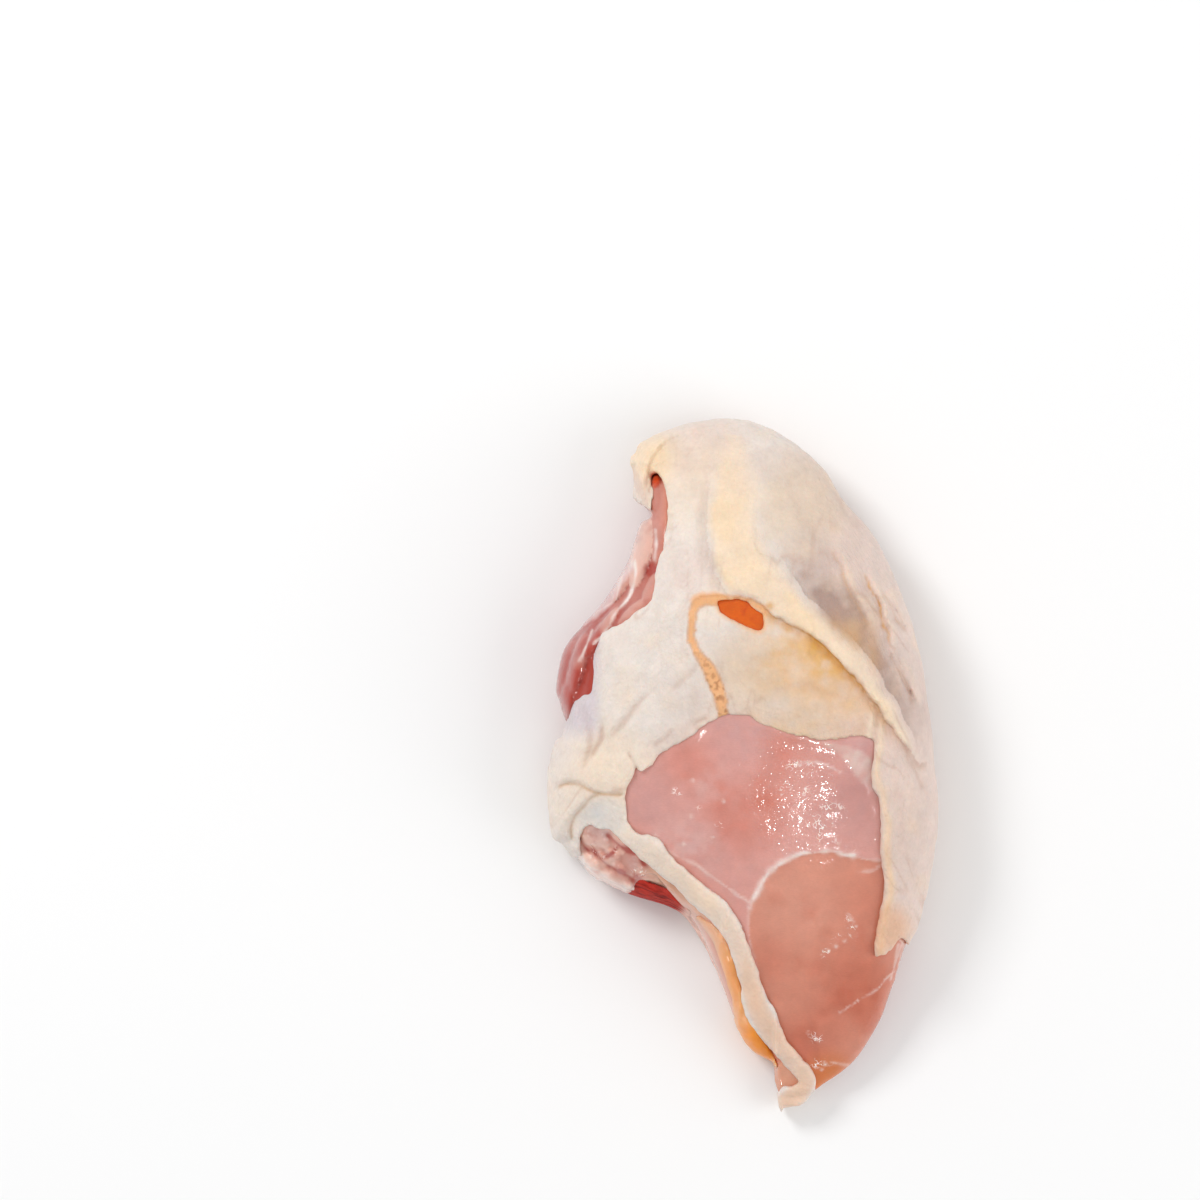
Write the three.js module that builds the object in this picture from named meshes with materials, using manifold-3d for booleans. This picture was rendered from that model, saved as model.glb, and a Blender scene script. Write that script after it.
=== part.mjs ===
// A raw bone-in chicken breast: half of a split breast, lying rib side down with its skin up.
//
// Millimetres. +Y runs from the pointed tail to the shoulder, +X to the outer flank, +Z up off the
// table. The origin is on the table, under the middle of the piece.
//
// The meat is one body whose plan is the outline below. A point of it is given by its bearing from
// CENTRE and by rho, its distance from CENTRE over that of the outline: rho runs from 0 over the
// middle to 1 at the rim. The skin is a shell that follows the meat, cut to its torn outline.

import * as THREE from 'three';
import { mergeVertices } from 'three/addons/utils/BufferGeometryUtils.js';
import { LoftGeometry } from 'three/addons/geometries/LoftGeometry.js';
import Module from 'manifold-3d';

const wasm = await Module();
wasm.setup();

// ---- Driving dimensions

const LENGTH = 207;            // tail tip to shoulder
const WIDTH = 117;             // keel edge to outer flank
const CENTRE = { x: 5, y: 0 };
const GAP = 0.3;               // left between pieces that touch
const SKIN = 2.0;              // thickness of the skin
const PROUD = GAP + SKIN;      // height of the skin's face above the meat
const HEM = 6;                 // height at which the skin ends on the flank
const HEM_WAVE = 1.6;

const DOME = 3.2;              // how flat the top is before it rounds off to the rim
const TUCK = 6;                // how far the side tucks in under the rim
const FOOT = 2.6;              // depth pressed flat where the piece rests
const RIB_CAVE = { x: 8, y: -3, halfWidth: 33, halfLength: 65, depth: 16 };

const SEGMENTS = { x: 18, y: 20, z: 12 };   // faces of the body along each side of its box

const RIBS = 5;
const RIB_RADIUS = 2.2;
const KEEL_HEIGHT = 11;
const KEEL_THICKNESS = 3.6;

// Outline of the whole piece seen from above, clockwise from the shoulder corner.
const OUTLINE = [
  [-27.5, 94], [-21.5, 100], [-12.6, 102.6], [-3.6, 103.5], [5.4, 101.7], [15, 96.3],
  [23.4, 88.8], [30, 78.9], [37.8, 69.9], [43.2, 60.9], [48.9, 47.4], [52.8, 33.9],
  [54.9, 20.4], [57.3, 6.9], [58.5, -11.1], [57.9, -24.6], [55.8, -38.1], [51.9, -51.6],
  [46.5, -65.1], [41.1, -78.6], [32.7, -92.1], [24.9, -99.6], [16.5, -103.5], [12.6, -103.2],
  [11.1, -98.7], [9.9, -92.1], [4.5, -89.7], [0, -84.6], [-3.9, -74.1], [-8.7, -60.6],
  [-15.3, -47.1], [-21, -42.9], [-30.6, -40.2], [-42.6, -35.1], [-50.4, -28.5],
  [-57.6, -18.9], [-58.5, -6.6], [-57, 3.3], [-53.7, 11.4], [-54, 21.9], [-50.1, 36.9],
  [-42.6, 47.1], [-36.6, 56.4], [-32.4, 65.4], [-31.2, 72],
  [-30.2, 79.5], [-29.6, 87],
];

// Height of the top over the middle line, by Y, and of the rim, by bearing in degrees.
const CREST = [[-104, 21], [-60, 31.5], [-20, 41], [20, 46.5], [60, 47.5], [104, 41]];
const RIM = [
  [0, 19], [45, 18], [90, 16], [113, 12], [135, 9], [162, 8], [190, 11], [215, 7], [235, 5],
  [262, 4], [274, 6], [287, 8], [308, 14], [335, 19], [360, 19],
];
// How much of the skin's thickness lies outside the meat's rim, by bearing: none on the cut edges.
const WRAP = [
  [0, 1], [110, 1], [118, 0], [160, 0], [172, 1], [205, 1], [214, 0], [263, 0], [269, 1],
  [281, 1], [289, 0], [300, 0], [310, 1], [360, 1],
];

// ---- Curves and heights

// Smooth interpolation through [position, value] pairs.
function through(knots) {
  return (at) => {
    const last = knots.length - 1;
    const t = THREE.MathUtils.clamp(at, knots[0][0], knots[last][0]);
    let i = 0;
    while (i < last - 1 && t > knots[i + 1][0]) i++;
    const slope = (k) => {
      const [a, b] = [knots[Math.max(k - 1, 0)], knots[Math.min(k + 1, last)]];
      return (b[1] - a[1]) / (b[0] - a[0]);
    };
    const [[x0, y0], [x1, y1]] = [knots[i], knots[i + 1]];
    const span = x1 - x0;
    const s = (t - x0) / span;
    const rise = y0 + (y1 - y0) * s * s * (3 - 2 * s);
    return rise + span * s * (1 - s) * (slope(i) * (1 - s) - slope(i + 1) * s);
  };
}

const crest = through(CREST);
const rim = through(RIM);
const wrap = through(WRAP);

function smoothLoop(points, steps) {
  const loop = new THREE.CatmullRomCurve3(points.map(([x, y]) => new THREE.Vector3(x, y, 0)), true);
  return loop.getPoints(steps);
}

// Distance from CENTRE to the outline at a bearing in radians.
function outlineReach(points) {
  const turn = 2 * Math.PI;
  const polar = smoothLoop(points, 720).map((p) => {
    const angle = Math.atan2(p.y - CENTRE.y, p.x - CENTRE.x);
    return [(angle + turn) % turn, Math.hypot(p.x - CENTRE.x, p.y - CENTRE.y)];
  });
  polar.sort((a, b) => a[0] - b[0]);
  const first = polar[0];
  const last = polar[polar.length - 1];
  polar.unshift([last[0] - turn, last[1]]);
  polar.push([first[0] + turn, first[1]]);
  return (angle) => {
    const at = (angle + turn) % turn;
    let i = 1;
    while (i < polar.length - 1 && polar[i][0] < at) i++;
    const [[a0, r0], [a1, r1]] = [polar[i - 1], polar[i]];
    return a1 > a0 ? THREE.MathUtils.lerp(r0, r1, (at - a0) / (a1 - a0)) : r0;
  };
}

const reach = outlineReach(OUTLINE);
const degrees = (angle) => (THREE.MathUtils.radToDeg(angle) + 360) % 360;
const meatReach = (angle) => reach(angle) - PROUD * wrap(degrees(angle));

// The outline with its nicks averaged out, which the middle of the body follows.
function evenReach(angle) {
  const span = THREE.MathUtils.degToRad(16);
  const offsets = [-1, -0.5, 0, 0.5, 1];
  return offsets.reduce((sum, k) => sum + meatReach(angle + k * span), 0) / offsets.length;
}

function topHeight(y, angle, rho) {
  const edge = rim(degrees(angle));
  const even = (rho * meatReach(angle)) / evenReach(angle);
  const out = Math.min(THREE.MathUtils.lerp(even, rho, rho ** 6), 1);
  return edge + (crest(y) - edge) * Math.sqrt(1 - out ** DOME);
}

// The rib side: tucked in under the rim, flat where it rests, hollow under the ribs.
function underHeight(x, y, angle, rho) {
  const tucked = rim(degrees(angle)) * (1 - Math.sqrt(Math.max(1 - rho ** TUCK, 0)));
  const away = ((x - RIB_CAVE.x) / RIB_CAVE.halfWidth) ** 2
    + ((y - RIB_CAVE.y) / RIB_CAVE.halfLength) ** 2;
  const cave = RIB_CAVE.depth * Math.max(1 - away, 0) ** 1.5;
  return Math.max(tucked - FOOT * (1 - rho ** TUCK), 0) + cave;
}

function rhoAt(x, y) {
  const angle = Math.atan2(y - CENTRE.y, x - CENTRE.x);
  return [angle, Math.hypot(x - CENTRE.x, y - CENTRE.y) / meatReach(angle)];
}

// A point over the top of the meat, lifted along the surface's normal.
function onTop([x, y], lift = 0) {
  const height = (px, py) => {
    const [angle, rho] = rhoAt(px, py);
    return topHeight(py, angle, Math.min(rho, 0.995));
  };
  const step = 0.5;
  const normal = new THREE.Vector3(
    height(x - step, y) - height(x + step, y),
    height(x, y - step) - height(x, y + step),
    2 * step,
  ).normalize();
  const point = new THREE.Vector3(x, y, height(x, y)).addScaledVector(normal, lift);
  return { point, normal };
}

// A point on the rib side, sunk into it.
function onUnder([x, y], sink = 0) {
  const [angle, rho] = rhoAt(x, y);
  const point = new THREE.Vector3(x, y, underHeight(x, y, angle, rho) + sink);
  return { point, normal: new THREE.Vector3(0, 0, 1) };
}

// ---- Solids

// A closed geometry as a solid for joining and cutting.
function solid(geometry) {
  const corners = new THREE.BufferGeometry().setIndex(geometry.index);
  corners.setAttribute('position', geometry.attributes.position);
  const merged = mergeVertices(corners, 1e-3);
  return new wasm.Manifold(new wasm.Mesh({
    numProp: 3,
    vertProperties: merged.attributes.position.array,
    triVerts: new Uint32Array(merged.index.array),
  }));
}

// The meat's body, grown outwards by a distance along its normals.
function body(grow = 0) {
  const geometry = new THREE.BoxGeometry(1, 1, 1, SEGMENTS.x, SEGMENTS.y, SEGMENTS.z);
  geometry.deleteAttribute('normal');
  geometry.deleteAttribute('uv');
  const shell = mergeVertices(geometry, 1e-4);
  const at = shell.attributes.position;
  for (let i = 0; i < at.count; i++) {
    const ray = new THREE.Vector3().fromBufferAttribute(at, i).normalize();
    const angle = Math.atan2(ray.y * LENGTH, ray.x * WIDTH);
    const rho = Math.hypot(ray.x, ray.y);
    const r = rho * meatReach(angle);
    const x = CENTRE.x + r * Math.cos(angle);
    const y = CENTRE.y + r * Math.sin(angle);
    const z = ray.z >= -1e-6 ? topHeight(y, angle, rho) : underHeight(x, y, angle, rho);
    at.setXYZ(i, x, y, z);
  }
  shell.computeVertexNormals();
  const normals = shell.attributes.normal;
  for (let i = 0; i < at.count; i++) {
    at.setXYZ(
      i,
      at.getX(i) + grow * normals.getX(i),
      at.getY(i) + grow * normals.getY(i),
      at.getZ(i) + grow * normals.getZ(i),
    );
  }
  return solid(shell);
}

// A rounded bar along a line of places, each { point, normal, wide, high } with half sizes.
function bar(places, grow = 0, sides = 8) {
  const line = new THREE.CatmullRomCurve3(places.map((p) => p.point));
  const sections = places.map(({ point, normal, wide, high }, i) => {
    const along = line.getTangent(i / (places.length - 1));
    const across = new THREE.Vector3().crossVectors(normal, along).normalize();
    const up = new THREE.Vector3().crossVectors(along, across).normalize();
    return Array.from({ length: sides }, (_, k) => {
      const turn = (2 * Math.PI * k) / sides;
      return point.clone()
        .addScaledVector(across, (wide + grow) * Math.cos(turn))
        .addScaledVector(up, (high + grow) * Math.sin(turn));
    });
  });
  return solid(new LoftGeometry(sections, { capStart: true, capEnd: true }));
}

// The same places, more closely spaced on a smooth curve.
function refine(places, steps) {
  const blend = (key) => through(places.map((p, i) => [i, p[key]]));
  const line = new THREE.CatmullRomCurve3(places.map((p) => new THREE.Vector3(p.x, p.y, p.z ?? 0)));
  return Array.from({ length: steps + 1 }, (_, i) => {
    const at = (i / steps) * (places.length - 1);
    const { x, y, z } = line.getPoint(i / steps);
    return { x, y, z, wide: blend('wide')(at), high: blend('high')(at) };
  });
}

// A prism standing on an outline, for cutting.
function prism(points, low, high) {
  const shape = new THREE.Shape(points.map(([x, y]) => new THREE.Vector2(x, y)));
  const geometry = new THREE.ExtrudeGeometry(shape, { depth: high - low, bevelEnabled: false });
  return solid(geometry.translate(0, 0, low));
}

// A block whose top is the wavy line where the skin ends above the table.
function hemBlock() {
  const deep = 30;
  const geometry = new THREE.BoxGeometry(2 * WIDTH, 2 * LENGTH, deep, 30, 40, 1);
  geometry.translate(0, 0, HEM - deep / 2);
  const at = geometry.attributes.position;
  for (let i = 0; i < at.count; i++) {
    if (at.getZ(i) < 0) continue;
    const wave = Math.sin(at.getX(i) / 7) * Math.cos(at.getY(i) / 11);
    at.setZ(i, HEM + HEM_WAVE * wave);
  }
  return solid(geometry);
}

// The largest piece of a solid, without the scraps a cut can leave.
function largest(whole) {
  const pieces = whole.decompose();
  return pieces.reduce((best, piece) => (piece.volume() > best.volume() ? piece : best));
}

// ---- Bones

// The sternum's plate: a curved blade low on the keel edge, its top bare where the breast was split.
const KEEL_LINE = [
  [-44, -33.5], [-34, -38], [-25, -40.6], [-17.5, -44.5], [-12, -53], [-7.5, -63], [-3, -74],
  [2, -83.5],
];

function keelPlaces() {
  const places = KEEL_LINE.map(([x, y], i) => {
    const taper = Math.sin(Math.PI * (0.12 + 0.8 * (i / (KEEL_LINE.length - 1))));
    const high = (KEEL_HEIGHT / 2) * Math.sqrt(taper);
    return { x, y, z: high + 1.2, wide: (KEEL_THICKNESS / 2) * Math.sqrt(taper), high };
  });
  return refine(places, 12).map((p) => (
    { ...p, point: new THREE.Vector3(p.x, p.y, p.z), normal: new THREE.Vector3(0, 0, 1) }
  ));
}

// The coracoid: a stout strut from the sternum's front to the shoulder joint, along the flank.
const CORACOID = [
  { x: -41, y: -16, z: 3.6, wide: 3.6, high: 3 },
  { x: -40, y: -8, z: 4.4, wide: 5.6, high: 4.2 },
  { x: -38, y: 6, z: 3.9, wide: 4.2, high: 3.7 },
  { x: -34, y: 26, z: 3.6, wide: 3.5, high: 3.4 },
  { x: -28, y: 46, z: 4, wide: 3.8, high: 3.8 },
  { x: -22, y: 62, z: 4.9, wide: 5, high: 4.7 },
  { x: -18.5, y: 70, z: 4.2, wide: 3.2, high: 3.2 },
];

function coracoidPlaces() {
  return refine(CORACOID, 12).map((p) => (
    { ...p, point: new THREE.Vector3(p.x, p.y, p.z), normal: new THREE.Vector3(0, 0, 1) }
  ));
}

const BARE_BONE = { wide: 0.85, high: 2.4, z: 0.4 };   // strip of the coracoid seen from below

function barePlaces() {
  return coracoidPlaces().map((p) => ({
    ...p,
    point: p.point.clone().setZ(BARE_BONE.z),
    wide: BARE_BONE.wide * p.wide,
    high: BARE_BONE.high,
  }));
}

// Ribs fan out across the hollow from the sternum's edge to the outer flank.
const RIB_START = [[-22, 14], [-21, -2], [-17, -17], [-10, -31], [-1, -44]];
const RIB_END = [[30, 37], [37, 20], [39, 2], [36, -15], [29, -31]];
const RIB_BOW = 4;             // how far a rib bows towards the shoulder

function ribPlaces(rib) {
  const steps = 9;
  return Array.from({ length: steps + 1 }, (_, i) => {
    const t = i / steps;
    const x = THREE.MathUtils.lerp(RIB_START[rib][0], RIB_END[rib][0], t);
    const y = THREE.MathUtils.lerp(RIB_START[rib][1], RIB_END[rib][1], t);
    const bow = RIB_BOW * Math.sin(Math.PI * t);
    const taper = Math.min(1, 0.35 + 6 * t * (1 - t));
    const place = onUnder([x, y + bow], RIB_RADIUS * (1.35 - 0.95 * taper));
    return { ...place, wide: RIB_RADIUS * taper * 1.25, high: RIB_RADIUS * taper };
  });
}

// ---- Soft trim

// Orange fat and cartilage that shows between the skin's edge and the keel.
const KEEL_FAT = [
  { x: -13, y: -46.5, wide: 1.0, high: 1.2 },
  { x: -7.5, y: -51.5, wide: 2.1, high: 1.9 },
  { x: -4, y: -60, wide: 2.3, high: 2.0 },
  { x: -1.6, y: -69, wide: 2.2, high: 1.9 },
  { x: 0.6, y: -77, wide: 1.9, high: 1.8 },
  { x: 4.2, y: -84, wide: 3.0, high: 2.4 },
  { x: 7.8, y: -88.4, wide: 2.4, high: 2.0 },
  { x: 10, y: -91.5, wide: 1.0, high: 1.0 },
];

const fatPlaces = () => refine(KEEL_FAT, 12).map((p) => ({ ...p, ...onTop([p.x, p.y], 0.2) }));

// Muscle slabs on the cut flank, under the skin's edge: [x, y] with half sizes, shoulder first.
const FLANK_SLABS = [
  [
    { x: -24.5, y: 82, wide: 1.6, high: 1.6 },
    { x: -24.6, y: 75, wide: 3.4, high: 2.8 },
    { x: -25.2, y: 67, wide: 3.2, high: 2.8 },
    { x: -26.4, y: 60, wide: 1.4, high: 1.4 },
  ],
  [
    { x: -29, y: 72, wide: 2, high: 2 },
    { x: -30.4, y: 66, wide: 4.2, high: 3.4 },
    { x: -32, y: 58, wide: 4.6, high: 3.6 },
    { x: -35.6, y: 50, wide: 3.6, high: 3 },
    { x: -41, y: 43, wide: 1.6, high: 1.6 },
  ],
  [
    { x: -39, y: 47, wide: 1.6, high: 1.6 },
    { x: -44.4, y: 38, wide: 4, high: 3 },
    { x: -48, y: 27, wide: 4.4, high: 3.4 },
    { x: -50.6, y: 15, wide: 2, high: 2 },
  ],
];

const slabPlaces = (slab) => refine(slab, 8).map((p) => ({ ...p, ...onTop([p.x, p.y], -0.6) }));

// ---- Skin

// The skin's torn outline, clockwise: over the shoulder and outer flank, back along the window
// that bares the meat, down the band on the keel edge, and up the cut flank.
const SKIN_OUTLINE = [
  [-60, 120], [90, 120], [90, -55],
  [46.8, -52.5], [44.5, -56.5], [39.3, -58.2], [39.9, -50.1], [41.4, -42.6], [42, -36.6],
  [40.8, -26.1], [40.5, -12.6], [37.8, -5.1], [37.8, 2.4], [39, 9.3], [40.2, 14.1],
  [32.4, 8.1], [23.4, 7.2], [16.5, 8.4], [8.4, 10.8], [1.8, 14.1], [-7.2, 14.1], [-12.6, 11.1],
  [-21.6, 4.8], [-30.3, -2.4], [-34.5, -6.6], [-35.4, -9.6],
  [-34.2, -17.1], [-30.6, -20.7], [-24.6, -22.5], [-20.1, -28.5], [-9, -38.1], [-1.5, -46.2],
  [1.2, -53.1], [5.4, -65.1], [10.2, -74.7], [14.4, -84.6], [19.8, -90.6], [22.8, -97.5],
  [20, -112], [8, -112],
  [11.5, -99], [12.6, -91.5], [6, -83.4], [1.5, -78.9], [-0.3, -71.1], [-2.1, -61.5],
  [-6.6, -50.7], [-14.7, -42.6], [-25.2, -32.7], [-32.7, -26.1], [-39, -19.5],
  [-45, -19.2], [-48.5, -24], [-52, -32], [-70, -32], [-70, 8.4],
  [-51.6, 14], [-49, 18.9], [-47.1, 24.9], [-43.2, 33.9], [-37.2, 41.4], [-31.8, 46.5],
  [-27.3, 48.9], [-26.4, 53.4], [-25.2, 61.2], [-23.1, 68.4], [-22.5, 75.9], [-23.7, 81],
  [-26.4, 81.6], [-26.9, 78], [-27.2, 75.5], [-60, 76],
];

// The hole worn through the skin over the crest.
const SKIN_HOLE = [
  [-7.5, 46.5], [-6, 48], [-2.1, 48.3], [3, 46.5], [4.8, 45], [4.2, 40.8], [3, 40.2],
  [0, 41.7], [-3.6, 43.5], [-6, 44.4],
];

// The thick fold that runs from the shoulder over the crest and down the outer flank.
const RIDGE = [
  { x: -1, y: 92, wide: 5, high: 0.8 },
  { x: -1.6, y: 82, wide: 8, high: 1.8 },
  { x: -1.5, y: 71, wide: 8.6, high: 2.1 },
  { x: 1.5, y: 60, wide: 8, high: 2.4 },
  { x: 9.5, y: 50, wide: 6.5, high: 2.8 },
  { x: 19.5, y: 42.2, wide: 4.6, high: 3 },
  { x: 28.3, y: 34, wide: 4.2, high: 3 },
  { x: 36.2, y: 25.5, wide: 4, high: 2.8 },
  { x: 42.8, y: 16, wide: 3.4, high: 2.2 },
  { x: 47.2, y: 8, wide: 2.2, high: 1 },
];
const RIDGE_SUNK = 0.8;        // how far its axis lies under the skin's face

function ridgePlaces() {
  const places = refine(RIDGE, 18);
  return places.map((p) => ({ ...p, ...onTop([p.x, p.y], PROUD - RIDGE_SUNK) }));
}

// The thick ends of skin: the folded corner by the keel's front, the flap that hangs over the
// flank at the shoulder, and the knob at the tail.
const CORNER_FOLD = [
  { x: -55.5, y: 2, wide: 1.6, high: 1.2 },
  { x: -55, y: -5, wide: 3.4, high: 2.2 },
  { x: -54.4, y: -14, wide: 4, high: 2.8 },
  { x: -52.8, y: -22.5, wide: 3, high: 2.4 },
  { x: -50.4, y: -27, wide: 1.4, high: 1.2 },
];
const SHOULDER_FLAP = [
  { x: -22, y: 98.5, wide: 1.4, high: 1 },
  { x: -28, y: 94.5, wide: 2.6, high: 1.9 },
  { x: -30.2, y: 88, wide: 3, high: 2.2 },
  { x: -30.4, y: 81, wide: 2.4, high: 1.8 },
  { x: -29.6, y: 76.5, wide: 1.2, high: 1 },
];
const TAIL_KNOB = [
  { x: 20, y: -92, wide: 1.8, high: 1.4 },
  { x: 17.4, y: -96, wide: 2.8, high: 2.4 },
  { x: 14.8, y: -98.8, wide: 3.2, high: 3 },
  { x: 13.2, y: -99.6, wide: 1.4, high: 1.4 },
];

const foldPlaces = (fold) => refine(fold, 8).map((p) => ({ ...p, ...onTop([p.x, p.y], SKIN / 2) }));

// ---- Assembly

const keel = keelPlaces();
const coracoid = coracoidPlaces();
const keelFat = fatPlaces();
const ribs = Array.from({ length: RIBS }, (_, i) => ribPlaces(i));
const slabs = FLANK_SLABS.map(slabPlaces);

function meat() {
  let whole = body();
  for (const slab of slabs) whole = whole.add(bar(slab));
  for (const piece of [keel, coracoid, keelFat, ...ribs]) {
    whole = whole.subtract(bar(piece, GAP));
  }
  return largest(whole.subtract(bar(barePlaces())));
}

function skin() {
  const shell = body(PROUD).subtract(body(GAP)).subtract(hemBlock());
  let whole = shell.intersect(prism(SKIN_OUTLINE, 0, 90));
  const ends = [CORNER_FOLD, SHOULDER_FLAP, TAIL_KNOB].map(foldPlaces);
  for (const fold of [ridgePlaces(), ...ends]) {
    whole = whole.add(bar(fold, 0, 10).subtract(body(GAP)));
  }
  whole = whole.subtract(prism(SKIN_HOLE, 0, 90));
  for (const piece of [keel, keelFat, ...slabs]) whole = whole.subtract(bar(piece, GAP));
  return largest(whole);
}

const group = new THREE.Group();

function place(name, piece, color, roughness) {
  const { vertProperties, triVerts } = piece.getMesh();
  const geometry = new THREE.BufferGeometry();
  geometry.setAttribute('position', new THREE.BufferAttribute(vertProperties, 3));
  geometry.setIndex(new THREE.BufferAttribute(triVerts, 1));
  geometry.computeVertexNormals();
  const material = new THREE.MeshStandardMaterial({ color, roughness, metalness: 0 });
  const mesh = new THREE.Mesh(geometry, material);
  mesh.name = name;
  group.add(mesh);
}

place('breast_meat', meat(), '#d6917c', 0.35);
place('skin', skin(), '#eddccb', 0.5);
place('breastbone', bar(keel), '#c4604c', 0.5);
place('keel_fat', bar(keelFat), '#eda870', 0.4);
place('coracoid', bar(coracoid), '#e6d2c8', 0.5);
ribs.forEach((rib, i) => place(`rib_${i + 1}`, bar(rib), '#dcb8ae', 0.5));

export default group;
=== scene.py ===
"""A raw bone-in chicken breast, lying rib side down with its skin up.

The forms are worked out in millimetres, in the frame's own axes: +Y from the pointed tail to the
shoulder, +X to the outer flank, +Z up. Every soft piece is a field of distances to the meat's
body: a plan map says what lies where, and how far above or below the body's surface it stands.
"""

import itertools
import math

import bpy
import numpy as np
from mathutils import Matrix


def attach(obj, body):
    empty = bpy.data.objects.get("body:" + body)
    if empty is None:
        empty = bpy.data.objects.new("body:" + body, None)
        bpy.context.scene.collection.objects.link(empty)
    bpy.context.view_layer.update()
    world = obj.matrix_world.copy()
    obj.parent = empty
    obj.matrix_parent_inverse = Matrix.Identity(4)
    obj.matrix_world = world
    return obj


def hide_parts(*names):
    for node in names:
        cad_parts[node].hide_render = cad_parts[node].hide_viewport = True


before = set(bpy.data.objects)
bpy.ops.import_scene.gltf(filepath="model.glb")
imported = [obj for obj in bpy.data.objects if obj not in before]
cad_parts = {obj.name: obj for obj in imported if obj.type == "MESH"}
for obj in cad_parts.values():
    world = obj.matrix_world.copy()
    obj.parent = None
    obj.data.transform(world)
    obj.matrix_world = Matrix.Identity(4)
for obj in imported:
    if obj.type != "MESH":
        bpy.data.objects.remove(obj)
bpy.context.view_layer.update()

MM = 0.001                        # metres to a millimetre
MEAT_STEP = 0.75                  # spacing of the fields, mm
SKIN_STEP = 0.62
BONE_STEP = 0.5
MOST_TRIANGLES = 194_000          # of one piece
GAP = 0.3                         # between the skin and the meat
SKIN = 2.0                        # thickness of the skin
PROUD = GAP + SKIN

# ---- The photograph's plan: pixels of its 1200 x 1200 frame to millimetres of the object ----

PIXEL = 0.30
ORIGIN_PX = (742.0, 763.0)


def traced(points):
    """Points of the photograph as millimetres in plan."""
    p = np.asarray(points, float)
    return np.stack([(p[..., 0] - ORIGIN_PX[0]) * PIXEL, (ORIGIN_PX[1] - p[..., 1]) * PIXEL], -1)


def pixels(x, y):
    """Where places in plan lie in the photograph."""
    return x / PIXEL + ORIGIN_PX[0], ORIGIN_PX[1] - y / PIXEL


# ---- The body's form: the same outline, crest and rim as the frame's meat ----

CENTRE = np.array([5.0, 0.0])
DOME = 3.2
TUCK = 6
FOOT = 2.6
RIB_CAVE = dict(x=8.0, y=-3.0, half_width=33.0, half_length=65.0, depth=16.0)

OUTLINE = [
    (-27.5, 94), (-21.5, 100), (-12.6, 102.6), (-3.6, 103.5), (5.4, 101.7), (15, 96.3),
    (23.4, 88.8), (30, 78.9), (37.8, 69.9), (43.2, 60.9), (48.9, 47.4), (52.8, 33.9),
    (54.9, 20.4), (57.3, 6.9), (58.5, -11.1), (57.9, -24.6), (55.8, -38.1), (51.9, -51.6),
    (46.5, -65.1), (41.1, -78.6), (32.7, -92.1), (24.9, -99.6), (16.5, -103.5), (12.6, -103.2),
    (11.1, -98.7), (9.9, -92.1), (4.5, -89.7), (0, -84.6), (-3.9, -74.1), (-8.7, -60.6),
    (-15.3, -47.1), (-21, -42.9), (-30.6, -40.2), (-42.6, -35.1), (-50.4, -28.5),
    (-57.6, -18.9), (-58.5, -6.6), (-57, 3.3), (-53.7, 11.4), (-54, 21.9), (-50.1, 36.9),
    (-42.6, 47.1), (-36.6, 56.4), (-32.4, 65.4), (-31.2, 72), (-30.2, 79.5), (-29.6, 87),
]
CREST = [(-104, 21), (-60, 31.5), (-20, 41), (20, 46.5), (60, 47.5), (104, 41)]
RIM = [
    (0, 19), (45, 18), (90, 16), (113, 12), (135, 9), (162, 8), (190, 11), (215, 7), (235, 5),
    (262, 4), (274, 6), (287, 8), (308, 14), (335, 19), (360, 19),
]
WRAP = [
    (0, 1), (110, 1), (118, 0), (160, 0), (172, 1), (205, 1), (214, 0), (263, 0), (269, 1),
    (281, 1), (289, 0), (300, 0), (310, 1), (360, 1),
]


def through(knots, at):
    """Smooth interpolation through (position, value) pairs."""
    x, y = np.array(knots, float).T
    slope = np.empty_like(y)
    slope[1:-1] = (y[2:] - y[:-2]) / (x[2:] - x[:-2])
    slope[0] = (y[1] - y[0]) / (x[1] - x[0])
    slope[-1] = (y[-1] - y[-2]) / (x[-1] - x[-2])
    at = np.clip(at, x[0], x[-1])
    i = np.clip(np.searchsorted(x, at, side="left") - 1, 0, len(x) - 2)
    span = x[i + 1] - x[i]
    s = (at - x[i]) / span
    rise = y[i] + (y[i + 1] - y[i]) * s * s * (3 - 2 * s)
    return rise + span * s * (1 - s) * (slope[i] * (1 - s) - slope[i + 1] * s)


def smooth_line(points, closed=False, per=12):
    """A centripetal Catmull-Rom curve through points, as a dense polyline."""
    p = np.asarray(points, float)
    n = len(p)
    if closed:
        quads = [(p[i - 1], p[i], p[(i + 1) % n], p[(i + 2) % n]) for i in range(n)]
    else:
        ext = np.vstack([2 * p[0] - p[1], p, 2 * p[-1] - p[-2]])
        quads = [tuple(ext[i:i + 4]) for i in range(n - 1)]
    u = np.arange(per)[:, None] / per
    out = []
    for a, b, c, d in quads:
        ta, tb, tc = (max(np.linalg.norm(q - r) ** 0.5, 1e-4) for q, r in ((b, a), (c, b), (d, c)))
        m1 = ((b - a) / ta - (c - a) / (ta + tb) + (c - b) / tb) * tb
        m2 = ((c - b) / tb - (d - b) / (tb + tc) + (d - c) / tc) * tb
        out.append(b + u * m1 + u ** 2 * (3 * (c - b) - 2 * m1 - m2)
                   + u ** 3 * (2 * (b - c) + m1 + m2))
    if not closed:
        out.append(p[-1:])
    return np.vstack(out)


def reach_table():
    loop = smooth_line(OUTLINE, closed=True, per=16) - CENTRE
    angle = np.degrees(np.arctan2(loop[:, 1], loop[:, 0])) % 360
    order = np.argsort(angle)
    radius = np.hypot(*loop[order].T)
    return angle[order], radius - PROUD * through(WRAP, angle[order])


REACH = reach_table()


def reach(angle):
    """Distance from CENTRE to the meat's rim at a bearing in degrees."""
    return np.interp(angle, *REACH, period=360)


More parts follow.
